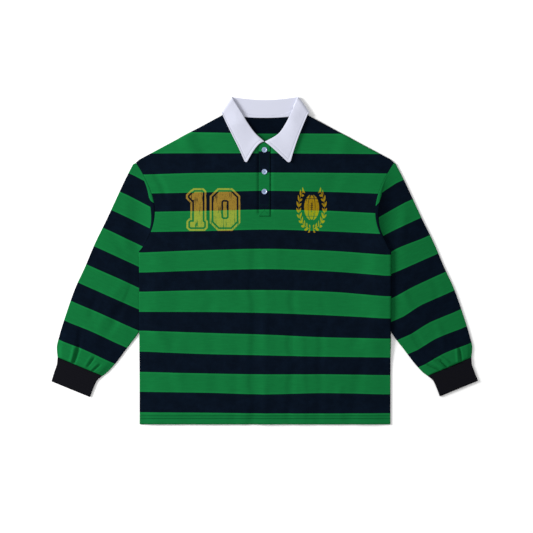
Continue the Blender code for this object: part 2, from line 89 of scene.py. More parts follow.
# Heights of the layers under the back panel, and where they lift it, each as start and width
SLEEVE_ROOM = 0.6
FLAT_SLEEVE = 2.0 * JERSEY + SLEEVE_ROOM
SLEEVE_STACK = 3.6
SLEEVE_SIDE_RAMP = (200.0, 70.0)
SLEEVE_LOW_RAMP = (-265.0, 80.0)
SLEEVE_HIGH_RAMP = (15.0, 110.0)
COLLAR_ROOM = 0.2
COLLAR_STACK = DRILL + 2.0 * LAYER_GAP + COLLAR_ROOM
COLLAR_RAMP = (285.0, 45.0)
COLLAR_SIDE_RAMP = (108.0, 60.0)

# Loft of the front panel: all over, beside the armholes, at the left armpit, below the neck and
# at its sides, each with where it comes up. Then the folds' fade, and the panel's edges.
BODY_LOFT = 1.8
SEAM_RAMP = (0.0, 45.0)
ARMHOLE_LOFT = 2.3
ARMHOLE_RAMP = (0.0, 55.0)
LEFT_LOFT = 5.0
LEFT_RAMP = (225.0, 60.0)
LEFT_LOW_RAMP = (-230.0, 120.0)
LEFT_HIGH_RAMP = (110.0, 90.0)
NECK_LOFT = 1.7
NECK_MIDDLE_Y = 325.0
NECK_RAMP = (55.0, 100.0)
NECK_SIDE_ROOM = 2.0
NECK_SIDE_RAMP = (8.0, 30.0)
FOLD_RAMP = (0.0, 30.0)
TROUGH_SOFTNESS = 0.25
EDGE_ROLL = 3.0
ARMHOLE_GROOVE = 0.4

# Loft of the sleeves: in the middle below the armhole, then a puff above the gathered cuff seam
# that ends within a short range of it, and the fade beside the sleeve's own two folds. SPACING is
# how far apart the last sections lie.
SLEEVE_LOFT = 2.0
SLEEVE_LOFT_RAMP = (308.0, 30.0)
SLEEVE_PUFF = 2.8
SLEEVE_PUFF_RANGE = 7.0
SLEEVE_FULL_RAMP = (7.0, 2.0)
SLEEVE_SPACING = 26.0
SLEEVE_FOLD_FADE = 3.0

# Grids of the body panels. The neckline's columns are places round its ellipse, in degrees.
NECK_COLUMNS = 18
NECK_TURNS = (20.0, 90.0)
SIDE_COLUMNS = 56
LOWER_ROWS = 96
SLOT_ROWS = 20
UPPER_ROWS = 48
EDGE_STEPS = (0.8, 1.7, 3.0)
MERGE_DISTANCE = 0.001

# Hoops on the body: where each starts, as a distance down from the frame's middle, at five
# places across
HOOP_XS = (-288.0, -144.0, 0.0, 144.0, 288.0)
BODY_HOOPS = (
    (-311.0, -308.2, -305.4, -305.1, -304.2),
    (-257.8, -258.1, -257.9, -257.2, -256.2),
    (-207.0, -210.8, -211.6, -211.1, -209.6),
    (-161.4, -164.3, -168.1, -165.7, -160.4),
    (-117.0, -119.9, -122.8, -120.1, -112.7),
    (-69.0, -71.4, -75.0, -70.9, -64.0),
    (-19.8, -25.6, -28.7, -24.4, -14.3),
    (28.0, 23.2, 20.0, 24.8, 35.6),
    (74.3, 70.9, 70.4, 74.0, 85.1),
    (122.5, 123.0, 125.4, 130.7, 138.1),
    (167.9, 173.2, 177.5, 184.0, 186.8),
    (218.0, 224.0, 227.2, 230.3, 232.0),
    (267.2, 270.6, 272.8, 272.8, 274.7),
    (314.8, 316.9, 320.8, 317.6, 320.8),
    (364.0, 364.9, 366.6, 366.8, 366.4),
)

# Hoops on the sleeves: distance of each start from the shoulder along the sleeve, at three
# places across it
SLEEVE_AXIS = Vector((0.405, -0.914))
SLEEVE_TOP = Vector((310.8, 234.6))
SLEEVE_HOOP_XS = (14.4, 72.0, 129.6)
SLEEVE_HOOPS = {
    -1.0: (
        (-18.0, -18.0, -18.0),
        (28.8, 34.5, 42.0),
        (78.2, 81.8, 88.0),
        (126.7, 128.5, 131.0),
        (173.8, 175.5, 177.0),
        (223.0, 223.8, 225.0),
        (270.2, 270.0, 271.0),
        (318.2, 318.2, 318.2),
        (365.3, 364.3, 365.0),
        (414.7, 412.5, 414.0),
        (462.2, 459.6, 461.0),
    ),
    1.0: (
        (-4.0, -4.0, -4.0),
        (45.6, 56.0, 66.0),
        (97.2, 102.0, 112.0),
        (145.9, 147.3, 152.0),
        (192.7, 190.0, 198.0),
        (241.0, 241.0, 240.0),
        (288.7, 289.6, 294.2),
        (337.7, 337.5, 345.6),
        (385.7, 384.3, 391.7),
        (428.4, 425.5, 432.5),
        (469.0, 465.8, 471.6),
    ),
}

# Where the tuck beside the armhole turns from green to navy: y at the seam and at its fold
TUCK_HOOP = {-1.0: (138.6, 154.0), 1.0: (131.4, 158.0)}
TUCK_HOOP_HEIGHT = 40.0

# Soft folds: x, y at one end, x, y at the other, width, height, below 0 for a trough. Those on
# the sleeves are measured outwards from the body's middle.
BODY_FOLDS = (
    (-23.0, 20.0, -24.0, -392.0, 20.0, -2.6),
    (4.0, -20.0, 2.0, -392.0, 17.0, 1.3),
    (70.0, -60.0, 61.0, -392.0, 17.0, -1.6),
    (90.0, -180.0, 94.0, -392.0, 13.0, 0.9),
    (141.0, -110.0, 127.0, -392.0, 16.0, -1.3),
    (-66.0, -210.0, -74.0, -392.0, 20.0, -1.1),
    (-266.0, 214.0, -234.0, 150.0, 14.0, -2.0),
    (-186.0, 312.0, -168.0, 250.0, 30.0, 2.4),
    (-290.0, -108.0, -232.0, -220.0, 22.0, 1.5),
    (-262.0, 6.0, -170.0, -66.0, 24.0, 1.2),
    (-262.0, -262.0, -190.0, -330.0, 24.0, -1.0),
    (250.0, 5.0, 165.0, -70.0, 26.0, -1.3),
    (262.0, -92.0, 214.0, -214.0, 22.0, -1.3),
    (185.0, 220.0, 120.0, 105.0, 26.0, -1.1),
    (196.0, 304.0, 180.0, 250.0, 30.0, 2.2),
    (238.0, -220.0, 206.0, -392.0, 22.0, -1.3),
    (-140.0, -60.0, -112.0, -330.0, 26.0, -1.2),
    (-196.0, -130.0, -214.0, -392.0, 24.0, 1.0),
    (182.0, -300.0, 176.0, -392.0, 14.0, 1.0),
    (30.0, 60.0, 24.0, -60.0, 20.0, 0.8),
    (-76.0, 60.0, -60.0, -90.0, 24.0, -1.0),
)
SLEEVE_FOLDS = {
    -1.0: (
        (448.5, -204.0, 459.0, -250.0, 6.5, -4.6),
        (458.0, -206.0, 469.0, -246.0, 7.0, 2.4),
        (409.0, -233.0, 424.5, -255.0, 4.0, -3.2),
        (417.0, -230.0, 431.0, -254.0, 4.0, 1.6),
        (395.0, -250.0, 413.0, -267.0, 4.0, -3.2),
        (402.0, -247.0, 420.0, -264.0, 3.6, 1.4),
        (444.0, -160.0, 450.0, -200.0, 11.0, -1.5),
        (316.8, -63.0, 374.4, -173.0, 15.0, -1.8),
        (345.0, -60.0, 400.0, -166.0, 17.0, 1.3),
        (402.0, -70.0, 420.0, -140.0, 15.0, -1.3),
        (372.0, 66.0, 330.0, 10.0, 20.0, -1.2),
    ),
    1.0: (
        (402.0, -234.0, 424.0, -241.0, 4.6, -3.4),
        (422.0, -240.0, 440.0, -257.0, 4.6, -4.4),
        (388.0, -248.0, 424.0, -264.0, 4.0, -4.0),
        (400.0, -241.0, 428.0, -256.0, 3.0, 1.8),
        (414.0, -226.0, 442.0, -243.0, 5.0, 2.4),
        (468.4, -212.0, 472.6, -246.0, 4.8, -4.2),
        (460.0, -206.0, 464.0, -246.0, 5.0, 2.0),
        (353.0, -168.0, 396.0, -236.0, 14.0, -2.0),
        (414.0, -150.0, 430.0, -216.0, 14.0, 1.3),
        (326.0, -60.0, 366.0, -150.0, 17.0, 1.4),
        (400.0, -40.0, 424.0, -130.0, 16.0, -1.2),
        (340.0, 120.0, 322.0, 30.0, 18.0, 1.2),
    ),
}

# How folds wander: length of a bend, then shares of the fold's own width, height and length by
# which it sways, swells and outruns its ends. REACH is the share of its width where it may act.
FOLD_WANDER = 55.0
FOLD_SWAY = 0.6
FOLD_SWELL = 0.7
FOLD_END = 0.2
FOLD_REACH = 1.5

# Ripples all over the cloth, stretched down the shirt and cut from one slice of the noise
RIPPLE_LENGTH = 60.0
RIPPLE_HEIGHT = 0.8
RIPPLE_STRETCH = 0.7
RIPPLE_SLICE = 3.0

# Sleeve from armhole to cuff: outer fold x, y, then inner fold x, y, then how far the section
# runs square to the inner fold before it bends. The trim moves one side's outer fold in.
SLEEVE_SECTIONS = (
    (317.4, 231.5, 299.0, 8.0, 14.0),
    (336.0, 195.0, 298.0, -14.0, 30.0),
    (356.0, 152.0, 294.0, -40.0, 42.0),
    (381.0, 98.0, 288.0, -70.0, 50.0),
    (408.0, 43.0, 285.5, -104.0, 50.0),
    (433.0, -16.0, 288.0, -141.0, 45.0),
    (456.0, -66.0, 306.5, -176.5, 40.0),
    (478.0, -128.0, 334.0, -213.0, 30.0),
    (493.0, -176.0, 361.5, -249.0, 20.0),
    (500.5, -209.0, 381.0, -269.5, 10.0),
    (498.5, -232.5, 391.5, -277.0, 0.0),
)
SLEEVE_TRIM = {-1.0: 0.0, 1.0: 2.4}
SLEEVE_STEPS = 12
AROUND_STEPS = 64
FOLD_STEPS = 8
SECTION_STEPS = 24
SECTION_REACH = 0.25

# Tuck beside the armhole: the sleeve runs level from the seam, drops and turns in under itself.
# REST is the share of the seam's height that its underside keeps, and PIT and TIP give how the
# rings turn at the armpit, in degrees, and how closely they follow the tube's folds at both ends.
TUCK_LEVEL = 2.2
TUCK_WIDTH = 5.5
TUCK_SPAN = (0.15, 0.65)
TUCK_DROP = 2.4
TUCK_DIP = 0.2
TUCK_REST = 0.9
UNDER_REST = 0.75
TUCK_RINGS = (0.4, 0.8)
UNDER_RINGS = (0.3, 0.6, 0.9)
PIT_DROP = 1.8
PIT_TURNS = (-57.0, -76.0, -105.0)
PIT_SHARPNESS = 8
TIP_SHARPNESS = 6
CURVE_STEP = 2.0
CURVE_MARGIN = 0.01

# Cuffs from their seams to their ends: outer fold x, y, then inner fold x, y
CUFF_SECTIONS = {
    -1.0: (
        (498.5, -232.6, 391.5, -277.1),
        (499.8, -247.0, 404.0, -288.0),
        (506.6, -268.0, 412.8, -306.8),
        (513.2, -289.8, 420.6, -327.4),
    ),
    1.0: (
        (496.1, -232.6, 391.5, -277.1),
        (496.9, -247.0, 404.0, -288.0),
        (503.6, -267.0, 412.5, -306.0),
        (511.8, -288.2, 420.0, -325.8),
    ),
}
CUFF_STEPS = 6
CUFF_RISE = (0.0, 0.25)

# Collar round the neck, from the wearer's right front to the left front: turn in degrees, 90 on
# the front and -90 on the back, then the place on the neckline in degrees from its middle, roll
# x, y and leaf edge x, y
COLLAR_SECTIONS = (
    (90.0, -9.5, -1.8, 286.0, -46.0, 231.8),
    (90.0, -27.0, -23.9, 306.2, -60.5, 264.5),
    (90.0, -48.0, -41.5, 330.0, -76.5, 297.0),
    (90.0, -71.0, -60.6, 361.4, -91.5, 327.5),
    (90.0, -88.5, -76.0, 386.0, -102.0, 350.5),
    (0.0, -90.0, -78.0, 391.3, -103.0, 353.5),
    (-90.0, -84.0, -75.5, 392.4, -101.0, 351.0),
    (-90.0, -31.0, -38.0, 387.8, -48.0, 337.0),
    (-90.0, 0.0, 0.0, 385.9, 0.0, 333.5),
    (-90.0, 31.0, 38.0, 387.8, 48.0, 337.0),
    (-90.0, 84.0, 75.5, 392.4, 101.0, 351.0),
    (0.0, 90.0, 78.0, 391.3, 103.0, 353.5),
    (90.0, 88.5, 76.0, 386.0, 102.0, 350.5),
    (90.0, 71.0, 65.6, 361.2, 92.5, 327.5),
    (90.0, 48.0, 51.2, 331.4, 80.2, 297.0),
    (90.0, 27.0, 32.0, 304.2, 69.0, 264.0),
    (90.0, 5.0, -0.4, 285.2, 59.6, 231.6),
)

# Where the stand meets the neckline, and how the collar rolls. Pairs give the wearer's right leaf,
# then the left one: its gap over the front and its bow near its end.
NECK_CLEAR = 1.0
BACK_NECK_CURVE = 0.5
NECK_SIDE_CLEAR = 1.8
NECK_SIDE_INSET = 1.2
ROLL_RADIUS = 1.3
LEAF_GAPS = (1.7, 3.8)
LEAF_END_LIFT = 1.6
LEAF_BOWS = (6.0, 1.2)
LEAF_BOW_EARLY = 0.6
LEAF_LENGTH = 66.0
STAND_HEIGHT = 32.0
LEAF_END = 28.0
LEAF_POINT_RADIUS = 8.0

# Rim of the leaves: stitched groove, plump rim inside the edge, and distances of the close rows
COLLAR_EDGE = 6.0
COLLAR_GROOVE = 0.4
COLLAR_GROOVE_WIDTH = 1.1
COLLAR_RIM = 0.25
COLLAR_RIM_RAMP = (3.6, 2.4)
COLLAR_BANDS = (0.0, 0.7, 1.6, 3.0, 4.4, 5.3, 6.0, 6.7, 7.6, 10.0, 13.5, 18.0)
COLLAR_END_BANDS = (*COLLAR_BANDS, 22.96)
STAND_STEPS = 8
ROLL_STEPS = 10
LEAF_STEPS = 14
COLLAR_STATIONS = 10

# Neck tape: half its length, then where its edges lie
TAPE_HALF = 66.0
TAPE_LOW_Y = 343.2
TAPE_RISE = 3.4
TAPE_HIGH_Y = 349.0
TAPE_ABOVE = 3.5
TAPE_COLUMNS = 60
TAPE_ROWS = 6

# Placket: sides and end of the upper strip and of the slot under it, then the upper strip's end
# under the collar, its round corner and edges, and how far it slips against the body's hoops
PLACKET_LEFT = -15.0
PLACKET_RIGHT = 12.6
PLACKET_BOTTOM = 106.0
SLOT_LEFT = -10.8
SLOT_RIGHT = 8.4
SLOT_BOTTOM = 112.0
UNDER_END_GAP = 0.9
STRIP_TOP = ((-10.9, 280.6), (-2.6, 285.0), (5.4, 280.4))
STRIP_COLUMNS = 16
STRIP_ROWS = 90
PLACKET_CORNER = 6.5
PLACKET_ROUNDING = 0.7
PLACKET_PLUMP = 0.25
PLACKET_PLUMP_RAMP = (0.0, 4.0)
PLACKET_SLIP = 4.5
PLACKET_SLIP_RAMP = (225.0, 30.0)
CENTRE_X = -1.2

# A button's profile as radius and height, from its flat middle over the rim to its underside,
# then its holes and the strands of thread between them
BUTTON_PROFILE = (
    (3.6, 1.65), (4.2, 1.8), (4.7, 2.2), (5.2, 2.52), (5.7, 2.6), (6.15, 2.45), (6.42, 2.05),
    (6.5, 1.5), (6.35, 0.8), (5.9, 0.3), (5.2, 0.05), (4.4, 0.0),
)
BUTTON_SIDES = 48
BUTTON_TURNS = (8.0, -20.0, 31.0)
BUTTON_CREASE = 50.0
HOLE_COUNT = 4
HOLE_SPREAD = 1.75
HOLE_RADIUS = 0.75
HOLE_SIDES = 14
STRAND_GAP = 0.42
STRAND_SIZE = (3.575, 0.546, 0.9)
STRAND_LIFT = 0.1
STRAND_SIDES = 8

# Number on the chest: boxes of the figures as middle x, y, half width, half height and corner cut,
# then the hole in the nought, and the gap and the outline round them all
NUMBER_BOXES = (
    (-160.0, 123.0, 10.5, 42.6, 2.0),
    (-172.0, 154.0, 9.0, 8.0, 7.0),
    (-163.0, 87.0, 17.0, 6.6, 2.0),
    (-96.0, 123.0, 28.0, 42.6, 14.0),
)
NUMBER_HOLE = (-96.0, 123.0, 8.8, 23.0, 4.0)
OUTLINE_START = 4.2
OUTLINE_END = 8.6
PRINT_EDGE = 0.35
GAP_SOFTNESS = 0.17

# Motif on the chest: a ball with its panels and lacing, between two sprigs on an ellipse. The
# sprigs start and end at angles from straight down, and each leaf leans out from the stem.
MOTIF_X = 112.0
MOTIF_Y = 128.0
BALL_HALF_WIDTH = 18.0
BALL_HALF_HEIGHT = 31.0
BALL_PANEL_HALF = 8.5
BALL_SEAM = 0.06
BALL_EDGE = 0.02
BALL_BAND = 21.0
BALL_BAND_HALF = 0.7
LACE_HALF = 12.0
LACE_PITCH = 2.2
LACE_REACH = 3.2
LACE_MIDDLE_HALF = 0.6
LACE_BAR_HALF = 0.5
SPRIG_HALF_WIDTH = 31.0
SPRIG_HALF_HEIGHT = 52.0
SPRIG_MEAN_RADIUS = 42.0
SPRIG_START = 0.12
SPRIG_END = 2.5
SPRIG_END_EDGE = 0.02
STEM_HALF = 0.7
LEAF_PAIRS = 12.0
SPRIG_LEAF_OUT = 4.0
SPRIG_LEAF_TURN = 0.7
SPRIG_LEAF_HALF_LENGTH = 6.4
SPRIG_LEAF_HALF_WIDTH = 2.4
SPRIG_LEAF_EDGE = 0.1

# Wear of the print: size of its upright cracks and of its specks, how much slower they change
# down the shirt, and the values of the noise between which they open
CRACK_SIZE = 2.38
CRACK_STRETCH = 0.07
CRACK_LEVELS = (0.36, 0.41)
SPECK_SIZE = 1.82
SPECK_STRETCH = 0.6
SPECK_SLICE = 7.0
SPECK_LEVELS = (0.34, 0.40)
PRINT_STRENGTH = 0.95

# Colours of the cloth and the print, which the hoops tint
GREEN = "#116533"
GREEN_RIM = "#136f36"
NAVY = "#080f19"
NAVY_WORN = "#0a131f"
MUSTARD_ON_GREEN = "#859333"
MUSTARD_ON_NAVY = "#896e2a"
YELLOW_ON_GREEN = "#8f9312"
YELLOW_ON_NAVY = "#8e7310"

# Painted shade: the sleeves' colour is made a little darker, as they look where they lie turned from
# the light, and the wrong side of the back panel, seen inside the neck, darker still for the collar's shade
SLEEVE_PAINTED_SHADE = 0.92
INSIDE_PAINTED_SHADE = 0.72

# Cloth grain, drawn a little coarser than it is so that it just shows: width of a wale and height
# of a course, the cuffs' rib, and the drill's twill lines with their slant across and along
WALE = 1.3
COURSE = 1.0
WALE_SKEW = 0.9
COURSE_DEPTH = 0.35
RIB_PITCH = 2.6
TWILL_PITCH = 1.2
TWILL_SLANT = (0.9, 1.3)

# Hoops as shares of their height: softness and fray of an edge, and the brighter rim of the green
HOOP_EDGE = 0.01
FRAY_SHARE = 0.02
FRAY_SIZE = 2.0
GREEN_RIM_SPAN = (0.53, 0.60)

# Unevenness of the yarn: worn patches of the navy and streaks along the courses, each as a size
# and the values of the noise between which it comes up
PATCH_SIZE = 28.6
PATCH_LEVELS = (0.42, 0.66)
STREAK_SIZE = 2.86
STREAK_LEVELS = (0.3, 0.7)
STREAK_STRETCH = 0.1
STREAK_CONTRAST = 0.09

# Plies of the thread, with how far a wave texture turns in a unit of its scale, and the clouds in
# a button
PLY_PITCH = 0.349
WAVE_TURN = 20.0
CLOUD_SIZE = 4.55
CLOUD_LEVELS = (0.35, 0.65)

# Settings of a node that mixes two colours, and the places of its inputs
COLOURS = {"out": 2, "data_type": "RGBA"}
SHARE = 0
FIRST = 6
SECOND = 7

# Topstitching: pitch, and length, width and height of a stitch, then where its rows run
STITCH_PITCH = 3.2
STITCH_SIZE = (2.6, 0.6, 0.55)
STITCH_SIDES = 6
COLLAR_ROW_TOP = 2.05
COLLAR_END_ROW_STEPS = 30
COLLAR_EDGE_ROW_STEPS = 400
PLACKET_EDGE = 1.8
PLACKET_ROW_TOPS = (274.0, 262.0)
PLACKET_ROW_STEPS = 60
CROSS_TOP = 134.5
CROSS_BOTTOM = 108.5
HEM_STITCHES = (-372.4, -378.8)
HEM_ROWS_X = 298.0
HEM_ROW_STEPS = 200
# The hem's rows: half width and depth of their groove, and the share of painted shade that darkens the cloth
# along them
HEM_ROW_HALF = 0.5
HEM_ROW_DEPTH = 2.0
HEM_ROW_PAINTED_SHADE = 0.45

# Camera, straight above the shirt, and how much it sees of the plane at a height
VIEW_X = 3.6
VIEW_Y = -13.8
VIEW_WIDTH = 1279.2
VIEW_HEIGHT = 6.0
LENS = 85.0
SENSOR = 36.0

# Floor, in metres: half its width, and how far it lies under the shirt
FLOOR_HALF = 6.0
FLOOR_GAP = 0.0005

# A softbox on the wearer's right, in metres and watts, and the white room round it
SOFTBOX_PLACE = (-3.6, 1.1, 1.9)
SOFTBOX_SIZE = 1.3
SOFTBOX_POWER = 235.0
ROOM_LIGHT = 0.66


# Curves and noise


def shares(count):
    """Evenly spaced shares from 0 to 1."""
    return [k / count for k in range(count + 1)]


def smooth(t):
    """Rise from 0 to 1 with level ends."""
    t = min(max(t, 0.0), 1.0)
    return t * t * (3.0 - 2.0 * t)


def mix(a, b, t):
    """From a to b as t goes from 0 to 1."""
    return a + (b - a) * t


def ramp(value, span):
    """0 before a span given as start and width, 1 after it."""
    return smooth((value - span[0]) / span[1])


def slope(before, after):
    """Slope at a table's row that keeps the curve from swinging past it."""
    return 0.0 if before * after <= 0.0 else 2.0 * before * after / (before + after)


def spline(rows, u):
    """Values between the rows of a table, on a curve through them, u counting rows from 0."""
    last = len(rows) - 1
    k = min(int(u), last - 1)
    f = u - k
    values = []
    for column in range(len(rows[0])):
        p0, p1, p2, p3 = (rows[min(max(k + step, 0), last)][column] for step in (-1, 0, 1, 2))
        m1 = slope(p1 - p0, p2 - p1) if k > 0 else p2 - p1
        m2 = slope(p2 - p1, p3 - p2) if k < last - 1 else p2 - p1
        ease = smooth(f)
        values.append(mix(p1, p2, ease) + m1 * f * (1.0 - f) ** 2 - m2 * f * f * (1.0 - f))
    return values


def count_from(starts, value):
    """How many starts lie before a value, with the share of the way to the next one."""
    for k in range(len(starts) - 1):
        if value < starts[k + 1] or k == len(starts) - 2:
            return k + (value - starts[k]) / (starts[k + 1] - starts[k])


def fold_height(folds, x, y):
    """Height that the soft folds add at a point. They wander, swell and die away unevenly."""
    height = 0.0
    for x0, y0, x1, y1, width, crest in folds:
        along = Vector((x1 - x0, y1 - y0))
        away = Vector((x - x0, y - y0))
        t = away.dot(along) / along.length_squared
        across = along.cross(away) / along.length
        if abs(across) < FOLD_REACH * width and -FOLD_END < t < 1.0 + FOLD_END:
            drift = noise.noise(Vector((t * along.length / FOLD_WANDER, x0, y0)))
            across = abs(across + FOLD_SWAY * width * drift)
            fade = ramp(min(t, 1.0 - t), (-FOLD_END, 2.0 * FOLD_END)) * (1.0 + FOLD_SWELL * drift)
            height += crest * fade * (1.0 - smooth(across / width))
    return height


def ripple(x, y):
    """Uneven, shallow waves of cloth that has been laid out by hand."""
    place = Vector((x, RIPPLE_STRETCH * y, RIPPLE_SLICE)) / RIPPLE_LENGTH
    return RIPPLE_HEIGHT * noise.noise(place)


# Outline of the body


def armhole_share(y):
    """0 at the shoulder tip, 1 at the armpit."""
    return min(max((TIP_Y - y) / (TIP_Y - ARMPIT_Y), 0.0), 1.0)


def side_edge(y):
    """Half width of the body at a height: side seam, then armhole."""
    if y <= ARMPIT_Y:
        return mix(CHEST_HALF, ARMPIT_X, smooth((y - HEM_Y) / (ARMPIT_Y - HEM_Y)))
    t = armhole_share(y)
    bow = max(math.sin(math.pi * t**ARMHOLE_LOW), 0.0) ** ARMHOLE_FULLNESS
    return mix(TIP_X, ARMPIT_X, t) - ARMHOLE_DEPTH * bow


def shoulder_line(x):
    """Height of the shoulder seam, which bends down beside the neck and again at its tip."""
    droop = SHOULDER_DROOP * max((abs(x) - DROOP_START) / (TIP_X - DROOP_START), 0.0) ** 2
    droop += SHOULDER_FALL * ramp(abs(x), (NECK_X, FALL_WIDTH))
    return NECK_Y - SHOULDER_SLOPE * max(abs(x) - NECK_X, 0.0) - droop


def top_edge(x, neck_drop):
    """Shoulder, then the neckline as a half ellipse."""
    if abs(x) >= NECK_X:
        return shoulder_line(x)
    return NECK_Y - neck_drop * math.sqrt(1.0 - (x / NECK_X) ** 2)


# Heights of the layers at a point


def back_bottom(x, y):
    """The back panel lies on the floor, and rises over the sleeves and the collar's back leaf."""
    over_sleeve = ramp(abs(x), SLEEVE_SIDE_RAMP) * ramp(y, SLEEVE_LOW_RAMP)
    over_sleeve *= 1.0 - ramp(y, SLEEVE_HIGH_RAMP)
    over_collar = ramp(y, COLLAR_RAMP) * (1.0 - ramp(abs(x), COLLAR_SIDE_RAMP))
    return SLEEVE_STACK * over_sleeve + COLLAR_STACK * over_collar


def back_top(x, y):
    """The upper face of the back panel."""
    return back_bottom(x, y) + JERSEY


def resting(loft):
    """Height of a fold above the layer that it lies on, which its troughs reach softly."""
    return loft if loft > TROUGH_SOFTNESS else TROUGH_SOFTNESS * math.exp(loft / TROUGH_SOFTNESS - 1.0)


def front_bottom(x, y):
    """The front panel lies on the back panel, a little fuller away from the seams."""
    from_side = side_edge(y) - abs(x)
    from_shoulder = shoulder_line(x) - y
    from_neck = math.hypot(x, y - NECK_MIDDLE_Y)
    from_corner = math.hypot(abs(x) - NECK_X, y - NECK_Y)
    body = BODY_LOFT * ramp(from_side, SEAM_RAMP) * ramp(from_shoulder, SEAM_RAMP)
    armhole = ARMHOLE_LOFT * math.sin(math.pi * armhole_share(y)) * (1.0 - ramp(from_side, ARMHOLE_RAMP))
    neck = NECK_LOFT * ramp(from_shoulder, SEAM_RAMP) * (1.0 - ramp(from_neck, NECK_RAMP))
    neck_side = NECK_SIDE_ROOM * (1.0 - ramp(from_corner, NECK_SIDE_RAMP))
    folds = (fold_height(BODY_FOLDS, x, y) + ripple(x, y)) * ramp(from_side, FOLD_RAMP)
    left = LEFT_LOFT * ramp(x, LEFT_RAMP) * ramp(y, LEFT_LOW_RAMP) * (1.0 - ramp(y, LEFT_HIGH_RAMP))
    return back_top(x, y) + SEAM_GAP + resting(body + armhole + neck + neck_side + folds + left)


def front_top(x, y):
    """The upper face of the front panel."""
    return front_bottom(x, y) + JERSEY


# Hoops


def hoops_before(table, places, across, along):
    """How many hoops start before a point, from a table of their starts at some places across."""
    u = (across - places[0]) / (places[1] - places[0])
    columns = list(zip(*table))
    return count_from(spline(columns, min(max(u, 0.0), len(places) - 1.0)), along)


def body_hoop(x, y):
    """How many of the body's hoops start above a point. The top one runs on up to the neck."""
    return max(hoops_before(BODY_HOOPS, HOOP_XS, x, -y), -0.5)


def sleeve_place(side, x, y):
    """Distance of a point across and along the sleeve from the shoulder."""
    away = Vector((side * x, y)) - SLEEVE_TOP
    return away.cross(SLEEVE_AXIS), away.dot(SLEEVE_AXIS)


def sleeve_hoop(side, x, y):
    """How many of a sleeve's hoops start above a point."""
    return hoops_before(SLEEVE_HOOPS[side], SLEEVE_HOOP_XS, *sleeve_place(side, x, y))


def tuck_hoop(side, share, y):
    """The tuck is green above one line across it, navy below, share going from seam to fold."""
    below = mix(*TUCK_HOOP[side], share) - y
    return 1.0 + min(max(below / TUCK_HOOP_HEIGHT, -0.5), 0.5)


# Mesh helpers


def finish(bm, name, material, thickness=0.0, offset=1.0, below=None):
    """Turn a bmesh in millimetres into an object in metres, with a wall if it is a sheet, whose
    lower face can have a material of its own."""
    bmesh.ops.scale(bm, vec=(MM, MM, MM), verts=bm.verts)
    mesh = bpy.data.meshes.new(name)
    bm.to_mesh(mesh)
    bm.free()
    mesh.materials.append(material)
    mesh.shade_smooth()
    obj = bpy.data.objects.new(name, mesh)
    bpy.context.scene.collection.objects.link(obj)
    if thickness:
        wall = obj.modifiers.new("Wall", "SOLIDIFY")
        wall.thickness = thickness * MM
        wall.offset = offset
        if below:
            mesh.materials.append(below)
            wall.material_offset = 1
    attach(obj, "root")
    return obj


def sheet(columns, rows, place, pattern):
    """A grid whose vertex in column i and row j stands at place(i, j). For a vertex of a face in
    a row, pattern gives its place across and along the cloth and the hoops that start above it."""
    bm = bmesh.new()
    bmesh.ops.create_grid(bm, x_segments=columns, y_segments=rows, size=1.0)
    hoop = bm.loops.layers.float.new("hoop")
    cloth = bm.loops.layers.uv.new("cloth")
    cells = {}
    for vert in bm.verts:
        i = round((vert.co.x + 1.0) / 2.0 * columns)
        j = round((vert.co.y + 1.0) / 2.0 * rows)
        vert.co = place(i, j)
        cells[vert] = (i, j)
    for face in bm.faces:
        row = min(cells[vert][1] for vert in face.verts)
        for loop in face.loops:
            across, along, loop[hoop] = pattern(*cells[loop.vert], loop.vert.co, row)
            loop[cloth].uv = (across * MM, along * MM)
    return bm


def close_tube(bm):
    """Join the first and the last column of a sheet that goes all round, and turn it outwards."""
    bmesh.ops.remove_doubles(bm, verts=bm.verts, dist=MERGE_DISTANCE)
    bm.normal_update()
    room = sum(face.calc_center_median().z * face.normal.z * face.calc_area() for face in bm.faces)
    if room < 0.0:
        bmesh.ops.reverse_faces(bm, faces=bm.faces)
    return bm


def bead(bm, middle, turn, size, sides):
    """A long round bead of thread."""
    shape = Matrix.Translation(middle) @ turn @ Matrix.Diagonal((*size, 1.0))
    bmesh.ops.create_uvsphere(bm, u_segments=sides, v_segments=sides - 2, radius=0.5, matrix=shape)


def sew(name, thread, paths):
    """Rows of stitches along paths on the cloth, each a small bead, half sunk in."""
    bm = bmesh.new()
    up = Vector((0.0, 0.0, 1.0))
    for path in paths:
        walked, due = 0.0, 0.5 * STITCH_PITCH
        for start, end in zip(path, path[1:]):
            step = (end - start).length
            while due <= walked + step:
                along = (end - start).normalized()
                aside = up.cross(along).normalized()
                turn = Matrix((along, aside, along.cross(aside))).transposed().to_4x4()
                bead(bm, start.lerp(end, (due - walked) / step), turn, STITCH_SIZE, STITCH_SIDES)
                due += STITCH_PITCH
            walked += step
    finish(bm, name, thread)


# Body panels


def body_columns():
    """Column positions at chest level, from the wearer's right to the left."""
    half = [NECK_X * math.sin(math.radians(mix(*NECK_TURNS, share))) for share in shares(NECK_COLUMNS)]
    half += [mix(NECK_X, CHEST_HALF - EDGE_STEPS[-1], share) for share in shares(SIDE_COLUMNS)[1:]]
    half += [CHEST_HALF - step for step in reversed(EDGE_STEPS[:-1])] + [CHEST_HALF]
    left = [mix(SLOT_LEFT, CENTRE_X, share) for share in (0.0, 0.5)]
    right = [mix(CENTRE_X, SLOT_RIGHT, share) for share in shares(2)]
    return [-x for x in reversed(half)] + left + right + half


def body_rows():
    """Row positions: heights up to the armpit, then shares of the way to the top edge."""
    slot_share = (SLOT_BOTTOM - ARMPIT_Y) / (NECK_Y - FRONT_NECK_DROP - ARMPIT_Y)
    rows = [(mix(HEM_Y, ARMPIT_Y, share), 0.0) for share in shares(LOWER_ROWS)[:-1]]
    rows += [(ARMPIT_Y, slot_share * share) for share in shares(SLOT_ROWS)[:-1]]
    return rows + [(ARMPIT_Y, mix(slot_share, 1.0, share)) for share in shares(UPPER_ROWS)]


